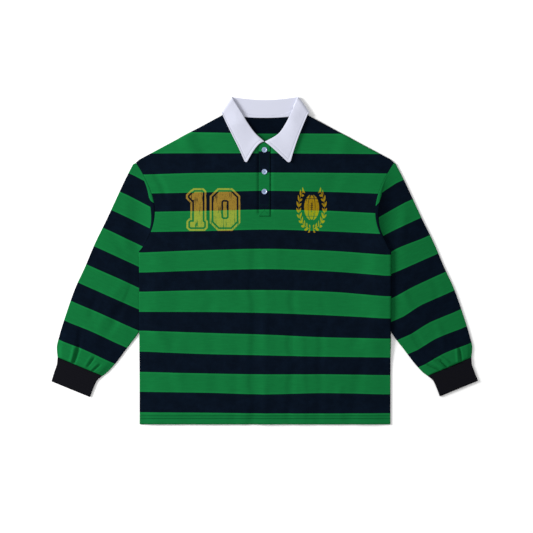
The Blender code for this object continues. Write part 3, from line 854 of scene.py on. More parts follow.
def body_point(column_x, row, neck_drop):
    """Plan position on a panel: level rows below the armpit, fanned rows above it."""
    y, share = row
    y_side = mix(y, TIP_Y, share)
    pull = (column_x / CHEST_HALF) ** 3
    x = column_x + (side_edge(y_side) - CHEST_HALF) * pull
    x_top = column_x + (TIP_X - CHEST_HALF) * pull
    return x, mix(y, top_edge(x_top, neck_drop), share)


def body_panel(neck_drop, height):
    """A panel as a sheet whose hoops follow its own place in plan."""
    columns, rows = body_columns(), body_rows()

    def place(i, j):
        x, y = body_point(columns[i], rows[j], neck_drop)
        return x, y, height(x, y)

    def pattern(i, j, point, row):
        return point.x, point.y, body_hoop(point.x, point.y)

    return sheet(len(columns) - 1, len(rows) - 1, place, pattern)


def edge_share(from_edge):
    """0 inside a panel, 1 on its edge, rounding the last few millimetres."""
    return 1.0 - math.sqrt(1.0 - (1.0 - min(max(from_edge / EDGE_ROLL, 0.0), 1.0)) ** 2)


def front_shell(x, y):
    """The front panel's underside, rolled down to the back panel at the sides and shoulders, and
    a little way down into the armhole seams."""
    height = front_bottom(x, y)
    at_side = edge_share(side_edge(y) - abs(x))
    if y > ARMPIT_Y:
        height -= ARMHOLE_GROOVE * at_side
        at_side = 0.0
    closed = max(at_side, edge_share(shoulder_line(x) - y))
    return mix(height, back_top(x, y), closed)


def build_back(cloth, inside):
    """The back shows its wrong side upwards, inside the neck, where its colour is darkened as painted shade.
    """
    bm = body_panel(BACK_NECK_DROP, back_bottom)
    panel = finish(bm, "back_cloth", inside, JERSEY, below=cloth)
    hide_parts("back_panel")


def build_front(cloth):
    """The front has a slot for the placket, open to the neckline."""
    bm = body_panel(FRONT_NECK_DROP, front_shell)
    in_slot = [
        face for face in bm.faces
        if SLOT_LEFT < face.calc_center_median().x < SLOT_RIGHT
        and face.calc_center_median().y > SLOT_BOTTOM
    ]
    bmesh.ops.delete(bm, geom=in_slot, context="FACES")
    panel = finish(bm, "front_cloth", cloth, JERSEY)
    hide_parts("front_panel")


# Sleeves and cuffs


def ring(plan, outer_out, inner_out, z_bottom, z_top):
    """One closed section of a flattened tube, from the underarm fold along the back layer to the
    outer fold, and along the front layer to the underarm fold again. Both folds are round, and
    bulge the way outer_out and inner_out point."""
    along = shares(AROUND_STEPS)
    outer_radius = 0.5 * (z_top(0.0) - z_bottom(0.0))
    inner_radius = 0.5 * (z_top(1.0) - z_bottom(1.0))

    def flat(share):
        pull = outer_out * outer_radius * (1.0 - share) ** 4 + inner_out * inner_radius * share**4
        return plan(share) - pull

    points = [(*flat(share), z_bottom(share)) for share in reversed(along)]
    points += round_fold(flat(0.0), outer_out * outer_radius, z_bottom(0.0), z_top(0.0))
    points += [(*flat(share), z_top(share)) for share in along]
    points += reversed(round_fold(flat(1.0), inner_out * inner_radius, z_bottom(1.0), z_top(1.0)))
    points.append(points[0])
    return points


def round_fold(start, bulge, z_low, z_high):
    """The points between two layers that make a round fold, lower one first."""
    points = []
    for k in range(1, FOLD_STEPS):
        angle = math.pi * (k / FOLD_STEPS - 0.5)
        z = mix(z_low, z_high, 0.5 + 0.5 * math.sin(angle))
        points.append((*(start + bulge * math.cos(angle)), z))
    return points


def armhole_plan(side, distance):
    """The armhole's curve in plan, moved outwards by a distance that depends on the share."""
    first = SLEEVE_SECTIONS[0]
    tip_way = Vector((first[0] - TIP_X, first[1] - TIP_Y)).normalized()
    pit_way = Vector((first[2] - ARMPIT_X, first[3] - ARMPIT_Y)).normalized()
    lowest, highest = ARMPIT_Y + CURVE_MARGIN, TIP_Y - CURVE_MARGIN

    def plan(share):
        y = min(max(mix(TIP_Y, ARMPIT_Y, share), lowest), highest)
        low, high = max(y - CURVE_STEP, lowest), min(y + CURVE_STEP, highest)
        normal = Vector((high - low, side_edge(low) - side_edge(high))).normalized()
        at_tip, at_pit = (1.0 - share) ** TIP_SHARPNESS, share**PIT_SHARPNESS
        normal = normal.lerp(tip_way, at_tip).lerp(pit_way, at_pit).normalized()
        point = Vector((side_edge(y), y)) + normal * distance(share)
        return Vector((side * point.x, point.y))

    return plan


def section_plan(side, section, inner_out):
    """A section across the tube that meets its inner fold squarely, then bends to its outer one."""
    outer_x, outer_y, inner_x, inner_y, reach = section
    outer, inner = Vector((side * outer_x, outer_y)), Vector((side * inner_x, inner_y))
    bend = inner - inner_out * reach if reach else outer.lerp(inner, 0.5)

    path = [outer.lerp(bend, t).lerp(bend.lerp(inner, t), t) for t in shares(SECTION_STEPS)]
    lengths = [0.0]
    for before, after in zip(path, path[1:]):
        lengths.append(lengths[-1] + (after - before).length)

    def plan(share):
        along = share * lengths[-1]
        k = max(step for step in range(SECTION_STEPS) if lengths[step] <= along)
        return path[k].lerp(path[k + 1], (along - lengths[k]) / (lengths[k + 1] - lengths[k]))

    return plan


def tuck_width(share):
    """How far the sleeve runs level from the armhole seam before it drops into the tuck."""
    t = min(max((share - TUCK_SPAN[0]) / TUCK_SPAN[1], 0.0), 1.0)
    return TUCK_LEVEL + TUCK_WIDTH * math.sin(math.pi * t) ** 2


def fold_ways(side, sections, u):
    """The ways that the outer and the inner fold face, square to their paths in plan."""
    before = spline(sections, max(u - SECTION_REACH, 0.0))
    after = spline(sections, min(u + SECTION_REACH, len(sections) - 1.0))
    outer = Vector((after[0] - before[0], after[1] - before[1])).normalized()
    inner = Vector((after[2] - before[2], after[3] - before[3])).normalized()
    return Vector((-side * outer.y, outer.x)), Vector((side * inner.y, -inner.x))


def sleeve_rings(side):
    """Rings from the armhole to the cuff, and the number of those that lie inside the tuck."""
    tip_way = fold_ways(side, ((TIP_X, TIP_Y, ARMPIT_X, ARMPIT_Y), SLEEVE_SECTIONS[0][:4]), 0.5)[0]
    turns = [math.radians(turn) for turn in PIT_TURNS]
    pit_ways = [Vector((side * math.cos(turn), math.sin(turn))) for turn in turns]
    seam = armhole_plan(side, lambda share: SEAM_GAP)
    tuck = armhole_plan(side, lambda share: SEAM_GAP + tuck_width(share))
    under = armhole_plan(side, lambda share: SEAM_GAP + tuck_width(share) + TUCK_DROP)

    def seam_bottom(share):
        return back_bottom(*seam(share)) - PIT_DROP * share**PIT_SHARPNESS

    def seam_top(share):
        return max(front_top(*seam(share)), seam_bottom(share) + FLAT_SLEEVE)

    def tuck_bottom(share):
        return TUCK_REST * seam_bottom(share)

    def tuck_top(share):
        return max(seam_top(share) - TUCK_DIP, tuck_bottom(share) + FLAT_SLEEVE)

    def under_bottom(share):
        return UNDER_REST * seam_bottom(share)

    def under_top(share):
        return under_bottom(share) + FLAT_SLEEVE

    seam_ring = ring(seam, tip_way, pit_ways[0], seam_bottom, seam_top)
    tuck_ring = ring(tuck, tip_way, pit_ways[1], tuck_bottom, tuck_top)
    under_ring = ring(under, tip_way, pit_ways[2], under_bottom, under_top)
    rings = [seam_ring] + [between(seam_ring, tuck_ring, share) for share in TUCK_RINGS]
    rings += [tuck_ring] + [between(tuck_ring, under_ring, share) for share in UNDER_RINGS]
    in_tuck = len(rings)
    rings.append(under_ring)
    sections = [(outer_x - SLEEVE_TRIM[side], *rest) for outer_x, *rest in SLEEVE_SECTIONS]
    last = len(sections) - 1.0
    for k in range(SLEEVE_STEPS * (len(sections) - 1) + 1):
        u = k / SLEEVE_STEPS
        ways = fold_ways(side, sections, u)
        plan = section_plan(side, spline(sections, u), ways[1])

        def top(share, plan=plan, u=u):
            x, y = plan(share)
            middle = math.sin(math.pi * share)
            off_edges = smooth(SLEEVE_FOLD_FADE * middle)
            loft = SLEEVE_LOFT * middle * ramp(abs(x), SLEEVE_LOFT_RAMP)
            loft += SLEEVE_PUFF * off_edges * ramp(u, SLEEVE_FULL_RAMP)
            loft += (fold_height(SLEEVE_FOLDS[side], abs(x), y) + ripple(x, y)) * off_edges
            from_end = (last - u) * SLEEVE_SPACING
            gathered = smooth(math.sqrt(max(from_end / SLEEVE_PUFF_RANGE, 0.0)))
            return FLAT_SLEEVE + max(loft, 0.0) * gathered

        rings.append(ring(plan, *ways, on_floor, top))
    return rings, in_tuck


def between(first, second, share):
    """A ring part of the way from one ring to another."""
    return [tuple(mix(a, b, share) for a, b in zip(start, end)) for start, end in zip(first, second)]


def on_floor(share):
    """Height of the underside of a sleeve or a cuff, which lies on the floor all along."""
    return 0.0


def build_sleeve(wearer, side, cloth):
    """A flattened tube from inside the tuck at the armhole to the cuff's seam."""
    rings, in_tuck = sleeve_rings(side)

    def pattern(i, j, point, row):
        across, along = sleeve_place(side, point.x, point.y)
        if row < in_tuck:
            return across, along, tuck_hoop(side, j / in_tuck, point.y)
        return across, along, sleeve_hoop(side, point.x, point.y)

    around = len(rings[0]) - 1
    bm = close_tube(sheet(around, len(rings) - 1, lambda i, j: rings[j][i], pattern))
    sleeve = finish(bm, f"sleeve_{wearer}_cloth", cloth, JERSEY, offset=-1.0)
    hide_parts(f"sleeve_{wearer}")


def build_cuff(wearer, side, cloth):
    """A flattened tube that takes over the sleeve's height at its seam."""
    sections = CUFF_SECTIONS[side]
    rings = []
    for k in range(CUFF_STEPS * (len(sections) - 1) + 1):
        u = k / CUFF_STEPS
        ways = fold_ways(side, sections, u)
        plan = section_plan(side, (*spline(sections, u), 0.0), ways[1])
        height = mix(FLAT_SLEEVE, 2.0 * RIB + SLEEVE_ROOM, ramp(u, CUFF_RISE))
        rings.append(ring(plan, *ways, on_floor, lambda share, height=height: height))

    def pattern(i, j, point, row):
        return *sleeve_place(side, point.x, point.y), 0.0

    around = len(rings[0]) - 1
    bm = close_tube(sheet(around, len(rings) - 1, lambda i, j: rings[j][i], pattern))
    cuff = finish(bm, f"cuff_{wearer}_cloth", cloth, RIB, offset=-1.0)
    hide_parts(f"cuff_{wearer}")


# Collar


def neck_seam(angle, turn):
    """A point just inside the neckline, the front's or the back's or between them."""
    drop = mix(BACK_NECK_DROP, FRONT_NECK_DROP, 0.5 + 0.5 * math.sin(turn)) - NECK_CLEAR
    x = (NECK_X - NECK_SIDE_INSET - NECK_SIDE_CLEAR * math.cos(turn)) * math.sin(angle)
    curve = max(math.cos(angle), 0.0) ** mix(BACK_NECK_CURVE, 1.0, 0.5 + 0.5 * math.sin(turn))
    return Vector((x, NECK_Y - drop * curve + NECK_SIDE_CLEAR * math.cos(turn) ** 2))


def round_point(from_end, from_edge):
    """Move a point near a corner of a leaf so that the corner becomes round."""
    p = Vector((1.0 - from_end / LEAF_POINT_RADIUS, 1.0 - from_edge / LEAF_POINT_RADIUS))
    if p.x <= 0.0 or p.y <= 0.0:
        return from_end, from_edge
    p *= max(p) / p.length
    return LEAF_POINT_RADIUS * (1.0 - p.x), LEAF_POINT_RADIUS * (1.0 - p.y)


def collar_relief(from_rim):
    """The seam inside a leaf's edge makes a plump rim, and its topstitching a groove."""
    groove = COLLAR_GROOVE * math.exp(-(((from_rim - COLLAR_EDGE) / COLLAR_GROOVE_WIDTH) ** 2))
    return COLLAR_RIM * (1.0 - ramp(from_rim, COLLAR_RIM_RAMP)) - groove


def upwards(way):
    """A way in plan, turned round if it points down the shirt."""
    return -way if way.y < 0.0 else way


def leaf_plan(base, roll, edge, share, end, left):
    """A leaf's point in plan, a share of the way to its edge. It bows where end is near 1."""
    bow = LEAF_BOWS[left] * math.sin(math.pi * share**LEAF_BOW_EARLY) * end
    return base.lerp(edge, share) + upwards(Vector((roll.y - edge.y, edge.x - roll.x)).normalized()) * bow


def leaf_height(plan, roll, share, end, left, stand_front):
    """Height of a leaf that lies over the front and rises to its roll."""
    gap = LEAF_GAPS[left] + 0.5 * DRILL
    rise = stand_front + 2.0 * ROLL_RADIUS - (front_top(*roll) + gap)
    return front_top(*plan) + gap + rise * (1.0 - share) ** 2 + LEAF_END_LIFT * end * (1.0 - share)


def collar_point(u, t):
    """A point of the collar's middle surface. u counts sections round the neck, and t goes up
    the stand from 0 to 1, over the roll to 2 and down the leaf to 3. A section on the front
    stands on the front panel's height, and one on the back hangs from the back panel's."""
    last = len(COLLAR_SECTIONS) - 1.0
    from_end, from_edge = LEAF_END * min(u, last - u), LEAF_LENGTH * (3.0 - t)
    relief = collar_relief(min(from_end, from_edge)) if t > 2.0 else 0.0
    from_end, from_edge = round_point(from_end, from_edge)
    if t > 2.0:
        t = 3.0 - from_edge / LEAF_LENGTH
        u = from_end / LEAF_END if u < 0.5 * last else last - from_end / LEAF_END
    section = spline(COLLAR_SECTIONS, u)
    k = min(int(u), int(last) - 1)
    turn = math.radians(mix(COLLAR_SECTIONS[k][0], COLLAR_SECTIONS[k + 1][0], u - k))
    seam = neck_seam(math.radians(section[1]), turn)
    roll, edge = Vector(section[2:4]), Vector(section[4:6])
    stand_front = front_bottom(*seam) + 0.5 * JERSEY
    stand_back = back_bottom(*seam) + 0.5 * JERSEY
    leaf_back = 0.5 * DRILL + COLLAR_RIM
    outwards = (roll - seam).normalized()
    base = roll - outwards * ROLL_RADIUS
    if t <= 1.0:
        plan = seam.lerp(base, t)
        front, back = stand_front, stand_back
    elif t <= 2.0:
        angle = math.pi * (t - 1.5)
        plan = base + outwards * ROLL_RADIUS * math.cos(angle)
        front = stand_front + ROLL_RADIUS * (1.0 + math.sin(angle))
        back = mix(stand_back, leaf_back, 0.5 + 0.5 * math.sin(angle))
    else:
        share, end, left = t - 2.0, smooth(1.0 - min(u, last - u)), seam.x > 0.0
        plan = leaf_plan(base, roll, edge, share, end, left)
        front, back = leaf_height(plan, roll, share, end, left, stand_front), leaf_back
    fold = (edge - roll).normalized()
    half_span = 0.5 * (front - back)
    plan += upwards(Vector((fold.y, -fold.x))) * half_span * math.cos(turn)
    return Vector((*plan, 0.5 * (front + back) + (half_span + relief) * math.sin(turn)))


def build_collar(cloth):
    """One band that stands up from the neckline, rolls over and lies down as the leaf, with close
    rows along its rim for the groove and the points."""
    last = len(COLLAR_SECTIONS) - 1
    ends = [band / LEAF_END for band in COLLAR_END_BANDS]
    stations = ends + [1.0 + k / COLLAR_STATIONS for k in range(COLLAR_STATIONS * (last - 2))]
    stations += [last - end for end in (1.0, *reversed(ends))]
    edge_shares = [1.0 - band / LEAF_LENGTH for band in reversed(COLLAR_BANDS)]
    steps = shares(STAND_STEPS)[:-1]
    steps += [1.0 + share for share in shares(ROLL_STEPS)[:-1]]
    steps += [2.0 + edge_shares[0] * share for share in shares(LEAF_STEPS)[:-1]]
    steps += [2.0 + share for share in edge_shares]

    def place(i, j):
        return collar_point(stations[i], steps[j])

    def pattern(i, j, point, row):
        along = STAND_HEIGHT * min(steps[j], 1.0) + LEAF_LENGTH * max(steps[j] - 2.0, 0.0)
        return LEAF_END * stations[i], along, 0.0

    bm = sheet(len(stations) - 1, len(steps) - 1, place, pattern)
    collar = finish(bm, "collar_cloth", cloth, DRILL, offset=0.0)
    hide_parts("collar")


def collar_stitching(thread):
    """Topstitching along the leaves' front ends and all along their edge."""
    last = len(COLLAR_SECTIONS) - 1.0
    end, edge = COLLAR_EDGE / LEAF_END, 3.0 - COLLAR_EDGE / LEAF_LENGTH
    down = [mix(COLLAR_ROW_TOP, edge, share) for share in shares(COLLAR_END_ROW_STEPS)[:-1]]
    path = [(end, t) for t in down]
    path += [(mix(end, last - end, share), edge) for share in shares(COLLAR_EDGE_ROW_STEPS)]
    path += [(last - end, t) for t in reversed(down)]

    def on_leaf(u, t):
        turn = COLLAR_SECTIONS[min(int(u + 0.5), int(last))][0]
        return collar_point(u, t) + Vector((0.0, 0.0, 0.5 * DRILL * math.sin(math.radians(turn))))

    sew("collar_stitches", thread, [[on_leaf(u, t) for u, t in path]])


def build_tape(cloth):
    """The tape covers the back neck seam inside the shirt."""

    def place(i, j):
        x = mix(-TAPE_HALF, TAPE_HALF, i / TAPE_COLUMNS)
        high = max(TAPE_HIGH_Y, top_edge(x, BACK_NECK_DROP) + TAPE_ABOVE)
        y = mix(TAPE_LOW_Y + TAPE_RISE * (x / TAPE_HALF) ** 2, high, j / TAPE_ROWS)
        return x, y, back_top(x, y) + SEAM_GAP

    def pattern(i, j, point, row):
        return point.x, point.y, 0.0

    tape = finish(sheet(TAPE_COLUMNS, TAPE_ROWS, place, pattern), "neck_tape_cloth", cloth, TAPE)
    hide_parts("neck_tape")


# Placket and buttons


def placket_top_edge(x):
    """The upper strip ends in a low peak under the collar, with a round corner on its free edge."""
    (left_x, left_y), (peak_x, peak_y), (right_x, right_y) = STRIP_TOP
    if x < peak_x:
        end = mix(left_y, peak_y, (x - left_x) / (peak_x - left_x))
    elif x <= right_x:
        end = mix(peak_y, right_y, (x - peak_x) / (right_x - peak_x))
    else:
        end = top_edge(x, FRONT_NECK_DROP) - SEAM_GAP
    from_corner = max(PLACKET_CORNER - (x - PLACKET_LEFT), 0.0)
    return end - PLACKET_CORNER + math.sqrt(PLACKET_CORNER**2 - from_corner**2)


def placket_top(x, y):
    """Top of the upper strip, whose long edges and lower end are rounded down."""
    from_rim = min(x - PLACKET_LEFT, PLACKET_RIGHT - x, y - PLACKET_BOTTOM)
    rounded = PLACKET_ROUNDING * edge_share(from_rim) - PLACKET_PLUMP * ramp(from_rim, PLACKET_PLUMP_RAMP)
    return front_top(x, y) + SEAM_GAP + JERSEY - rounded


def placket_strip(columns, bottom, top, height, hoop):
    """A strip along the centre front, from its lower end up to the neckline."""

    def place(i, j):
        x = columns[i]
        y = mix(bottom, top(x), j / STRIP_ROWS)
        return x, y, height(x, y)

    def pattern(i, j, point, row):
        return point.x, point.y, hoop(point.x, point.y)

    return sheet(len(columns) - 1, STRIP_ROWS, place, pattern)


def placket_hoop(x, y):
    """The strip was cut a little off the body's hoops near the neck."""
    return body_hoop(x, y - PLACKET_SLIP * ramp(y, PLACKET_SLIP_RAMP))


def build_placket(cloth):
    """The under strip fills the slot, and the upper strip covers it and its edges."""
    left, right = SLOT_LEFT + SEAM_GAP, SLOT_RIGHT - SEAM_GAP
    columns = [mix(left, right, share) for share in shares(STRIP_COLUMNS)]
    under = placket_strip(
        columns, SLOT_BOTTOM + UNDER_END_GAP, lambda x: top_edge(x, FRONT_NECK_DROP) - SEAM_GAP,
        front_bottom, body_hoop,
    )
    under = finish(under, "placket_under_cloth", cloth, JERSEY)
    left, right = PLACKET_LEFT + EDGE_STEPS[-1], PLACKET_RIGHT - EDGE_STEPS[-1]
    columns = [PLACKET_LEFT] + [PLACKET_LEFT + step for step in EDGE_STEPS[:-1]]
    columns += [mix(left, right, share) for share in shares(STRIP_COLUMNS)]
    columns += [PLACKET_RIGHT - step for step in reversed(EDGE_STEPS[:-1])] + [PLACKET_RIGHT]
    over = placket_strip(columns, PLACKET_BOTTOM, placket_top_edge, placket_top, placket_hoop)
    over = finish(over, "placket_top_cloth", cloth, JERSEY, offset=-1.0)
    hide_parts("placket_under")
    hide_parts("placket_top")


def placket_stitching(thread):
    """Rows beside both edges, and a crossed box at the lower end."""
    left, right = PLACKET_LEFT + PLACKET_EDGE, PLACKET_RIGHT - PLACKET_EDGE
    corners = [(left, CROSS_BOTTOM), (right, CROSS_BOTTOM), (left, CROSS_TOP), (right, CROSS_TOP)]
    lines = [
        ((left, PLACKET_ROW_TOPS[0]), corners[0]), ((right, PLACKET_ROW_TOPS[1]), corners[1]),
        (corners[0], corners[1]), (corners[2], corners[3]),
        (corners[0], corners[3]), (corners[1], corners[2]),
    ]
    paths = []
    for start, end in lines:
        spots = [Vector(start).lerp(Vector(end), share) for share in shares(PLACKET_ROW_STEPS)]
        paths.append([Vector((*spot, placket_top(*spot))) for spot in spots])
    sew("placket_stitches", thread, paths)


def hem_stitching(thread):
    """Two rows of the hem's coverstitch on the front."""
    paths = []
    for y in HEM_STITCHES:
        xs = [mix(-HEM_ROWS_X, HEM_ROWS_X, share) for share in shares(HEM_ROW_STEPS)]
        paths.append([Vector((x, y, front_top(x, y))) for x in xs])
    sew("hem_stitches", thread, paths)


def circle(bm, sides, radius, middle):
    """The edges of a new level circle."""
    made = bmesh.ops.create_circle(bm, segments=sides, radius=radius, matrix=Matrix.Translation(middle))
    bm.edges.index_update()
    return sorted({edge for vert in made["verts"] for edge in vert.link_edges}, key=lambda edge: edge.index)


def button_face(bm, hole_z, rim):
    """Fill a flat face between a button's rim and its four holes, and return the holes' edges."""
    holes = []
    for k in range(HOLE_COUNT):
        angle = 2.0 * math.pi * (k + 0.5) / HOLE_COUNT
        middle = (HOLE_SPREAD * math.cos(angle), HOLE_SPREAD * math.sin(angle), hole_z)
        holes.append(circle(bm, HOLE_SIDES, HOLE_RADIUS, middle))
    bmesh.ops.triangle_fill(bm, use_beauty=True, edges=rim + [edge for hole in holes for edge in hole])
    return holes


def button_mesh():
    """A dished disc with a round rim and four holes, standing on z = 0."""
    bm = bmesh.new()
    top_radius, top_z = BUTTON_PROFILE[0]
    top = rim = circle(bm, BUTTON_SIDES, top_radius, (0.0, 0.0, top_z))
    for radius, z in BUTTON_PROFILE[1:]:
        made = bmesh.ops.extrude_edge_only(bm, edges=rim)["geom"]
        rim = [item for item in made if isinstance(item, bmesh.types.BMEdge)]
        for vert in {vert for edge in rim for vert in edge.verts}:
            vert.co = (*(vert.co.xy.normalized() * radius), z)
    upper = button_face(bm, top_z, top)
    lower = button_face(bm, 0.0, rim)
    for above, below in zip(upper, lower):
        bmesh.ops.bridge_loops(bm, edges=above + below)
    bmesh.ops.recalc_face_normals(bm, faces=bm.faces)
    return bm


def build_buttons(plastic, thread):
    """Each button is sewn on through its four holes with two short bars of thread."""
    for number, degrees in enumerate(BUTTON_TURNS, 1):
        low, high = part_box(f"button_{number}")
        middle = Vector((0.5 * (low[0] + high[0]), 0.5 * (low[1] + high[1]), low[2])) / MM
        turn = Matrix.Rotation(math.radians(degrees), 4, "Z")
        bm = button_mesh()
        bmesh.ops.transform(bm, verts=bm.verts, matrix=Matrix.Translation(middle) @ turn)
        button = finish(bm, f"button_{number}_polyester", plastic)
        button.data.set_sharp_from_angle(angle=math.radians(BUTTON_CREASE))
        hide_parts(f"button_{number}")

        bm = bmesh.new()
        for side in (-1.0, 1.0):
            for strand in (-1.0, 0.0, 1.0):
                y = side * HOLE_SPREAD * math.sqrt(0.5) + strand * STRAND_GAP
                spot = Vector((0.0, y, BUTTON_PROFILE[0][1] + STRAND_LIFT))
                bead(bm, middle + turn @ spot, turn, STRAND_SIZE, STRAND_SIDES)
        finish(bm, f"button_{number}_thread", thread)


# Materials


def linear(code):
    """An sRGB hex colour as linear light."""
    values = [int(code[k:k + 2], 16) / 255.0 for k in (1, 3, 5)]
    return (*[v / 12.92 if v <= 0.04045 else ((v + 0.055) / 1.055) ** 2.4 for v in values], 1.0)


def put(tree, kind, inputs=(), out=0, **settings):
    """Add a node and return one of its outputs. inputs gives values or sockets, in the order of
    the node's own or by name."""
    made = tree.nodes.new("ShaderNode" + kind)
    for name, value in settings.items():
        setattr(made, name, value)
    for socket, value in inputs.items() if isinstance(inputs, dict) else enumerate(inputs):
        if isinstance(value, bpy.types.NodeSocket):
            tree.links.new(value, made.inputs[socket])
        else:
            made.inputs[socket].default_value = value
    return made.outputs[out]


def new_material(name, roughness, specular):
    """A material with its node tree and its shader."""
    material = bpy.data.materials.new(name)
    material.use_nodes = True
    shader = material.node_tree.nodes["Principled BSDF"]
    shader.inputs["Roughness"].default_value = roughness
    shader.inputs["Specular IOR Level"].default_value = specular
    return material, material.node_tree, shader


def line_mask(tree, value, place, half_width, softness=0.5):
    """1 on a line where a value has its place, 0 beside it. softness is the share of the half
    width over which it fades on either side."""
    away = put(tree, "Math", (value, place), operation="SUBTRACT")
    away = put(tree, "Math", (away,), operation="ABSOLUTE")
    near, far = (1.0 - softness) * half_width, (1.0 + softness) * half_width
    return put(tree, "MapRange", (away, near, far, 1.0, 0.0))


def cut_box(tree, x, y, box):
    """Distance to a box given as middle x, y, half width, half height and corner cut."""
    middle_x, middle_y, half_width, half_height, cut = box
    dx = put(tree, "Math", (x, middle_x), operation="SUBTRACT")
    dx = put(tree, "Math", (dx,), operation="ABSOLUTE")
    dy = put(tree, "Math", (y, middle_y), operation="SUBTRACT")
    dy = put(tree, "Math", (dy,), operation="ABSOLUTE")
    corner = put(tree, "Math", (dx, dy), operation="ADD")
    corner = put(tree, "Math", (corner, half_width + half_height - cut), operation="SUBTRACT")
    corner = put(tree, "Math", (corner, math.sqrt(0.5)), operation="MULTIPLY")
    dx = put(tree, "Math", (dx, half_width), operation="SUBTRACT")
    dy = put(tree, "Math", (dy, half_height), operation="SUBTRACT")
    side = put(tree, "Math", (dx, dy), operation="MAXIMUM")
    return put(tree, "Math", (side, corner), operation="MAXIMUM")


def number_mask(tree, x, y):
    """The number 10 in block figures: a solid body, a gap of bare cloth and an outline."""
    away = cut_box(tree, x, y, NUMBER_BOXES[0])
    for box in NUMBER_BOXES[1:]:
        away = put(tree, "Math", (away, cut_box(tree, x, y, box)), operation="MINIMUM")
    hole = put(tree, "Math", (cut_box(tree, x, y, NUMBER_HOLE), -1.0), operation="MULTIPLY")
    away = put(tree, "Math", (away, hole), operation="MAXIMUM")
    inside = put(tree, "MapRange", (away, OUTLINE_END - PRINT_EDGE, OUTLINE_END + PRINT_EDGE, 1.0, 0.0))
    gap = line_mask(tree, away, 0.5 * OUTLINE_START, 0.5 * OUTLINE_START, GAP_SOFTNESS)
    return put(tree, "Math", (inside, gap), operation="SUBTRACT", use_clamp=True)


def motif_mask(tree, x, y):
    """A ball between two sprigs of leaves, alike on both sides."""
    x = put(tree, "Math", (x, MOTIF_X), operation="SUBTRACT")
    x = put(tree, "Math", (x,), operation="ABSOLUTE")
    y = put(tree, "Math", (y, MOTIF_Y), operation="SUBTRACT")
    high = put(tree, "Math", (y,), operation="ABSOLUTE")

    ball = round_distance(tree, x, y, BALL_HALF_WIDTH, BALL_HALF_HEIGHT)
    ball = put(tree, "MapRange", (ball, 1.0 - BALL_EDGE, 1.0 + BALL_EDGE, 1.0, 0.0))
    panel = round_distance(tree, x, y, BALL_PANEL_HALF, BALL_HALF_HEIGHT)
    lines = line_mask(tree, panel, 1.0, BALL_SEAM)
    lace = line_mask(tree, x, 0.0, LACE_MIDDLE_HALF)
    bar = put(tree, "Math", (y, LACE_PITCH), operation="PINGPONG")
    bar = line_mask(tree, bar, 0.0, LACE_BAR_HALF)
    near = put(tree, "Math", (x, LACE_REACH), operation="LESS_THAN")
    bar = put(tree, "Math", (bar, near), operation="MULTIPLY")
    lace = put(tree, "Math", (lace, bar), operation="MAXIMUM")
    in_lace = put(tree, "Math", (high, LACE_HALF), operation="LESS_THAN")
    lace = put(tree, "Math", (lace, in_lace), operation="MULTIPLY")
    lines = put(tree, "Math", (lines, lace), operation="MAXIMUM")
    band = line_mask(tree, high, BALL_BAND, BALL_BAND_HALF)
    lines = put(tree, "Math", (lines, band), operation="MAXIMUM")
    ball = put(tree, "Math", (ball, lines), operation="SUBTRACT", use_clamp=True)

    down = put(tree, "Math", (y, -1.0 / SPRIG_HALF_HEIGHT), operation="MULTIPLY")
    out = put(tree, "Math", (x, 1.0 / SPRIG_HALF_WIDTH), operation="MULTIPLY")
    angle = put(tree, "Math", (out, down), operation="ARCTAN2")
    away = round_distance(tree, x, y, SPRIG_HALF_WIDTH, SPRIG_HALF_HEIGHT)
    away = put(tree, "Math", (away, 1.0), operation="SUBTRACT")
    away = put(tree, "Math", (away, SPRIG_MEAN_RADIUS), operation="MULTIPLY")
    aside = put(tree, "Math", (away,), operation="ABSOLUTE")
    pair = put(tree, "Math", (angle, LEAF_PAIRS / math.pi), operation="MULTIPLY")
    pair = put(tree, "Math", (pair,), operation="FRACT")
    forward = put(tree, "Math", (pair, 0.5), operation="SUBTRACT")
    forward = put(tree, "Math", (forward, math.pi * SPRIG_MEAN_RADIUS / LEAF_PAIRS), operation="MULTIPLY")
    outward = put(tree, "Math", (aside, SPRIG_LEAF_OUT), operation="SUBTRACT")
    turn_x, turn_y = math.cos(SPRIG_LEAF_TURN), math.sin(SPRIG_LEAF_TURN)
    length = put(tree, "Math", (outward, turn_y), operation="MULTIPLY")
    length = put(tree, "Math", (forward, turn_x, length), operation="MULTIPLY_ADD")
    length = put(tree, "Math", (length, SPRIG_LEAF_HALF_LENGTH), operation="DIVIDE")
    width = put(tree, "Math", (forward, -turn_y), operation="MULTIPLY")
    width = put(tree, "Math", (outward, turn_x, width), operation="MULTIPLY_ADD")
    width = put(tree, "Math", (width, SPRIG_LEAF_HALF_WIDTH), operation="DIVIDE")
    width = put(tree, "Math", (width,), operation="ABSOLUTE")
    leaf = put(tree, "Math", (length, length, width), operation="MULTIPLY_ADD")
    leaf = put(tree, "MapRange", (leaf, 1.0 - SPRIG_LEAF_EDGE, 1.0 + SPRIG_LEAF_EDGE, 1.0, 0.0))
    stem = line_mask(tree, away, 0.0, STEM_HALF)
    sprig = put(tree, "Math", (leaf, stem), operation="MAXIMUM")
    for end, inside, outside in ((SPRIG_START, 1.0, 0.0), (SPRIG_END, 0.0, 1.0)):
        span = (end - SPRIG_END_EDGE, end + SPRIG_END_EDGE)
        grown = put(tree, "MapRange", (angle, *span, outside, inside))
        sprig = put(tree, "Math", (sprig, grown), operation="MULTIPLY")
    return put(tree, "Math", (ball, sprig), operation="MAXIMUM")


def round_distance(tree, x, y, half_width, half_height):
    """Distance from the middle of an ellipse, 1 on its edge."""
    x = put(tree, "Math", (x, half_width), operation="DIVIDE")
    y = put(tree, "Math", (y, half_height), operation="DIVIDE")
    x = put(tree, "Math", (x, x), operation="MULTIPLY")
    both = put(tree, "Math", (y, y, x), operation="MULTIPLY_ADD")
    return put(tree, "Math", (both,), operation="SQRT")


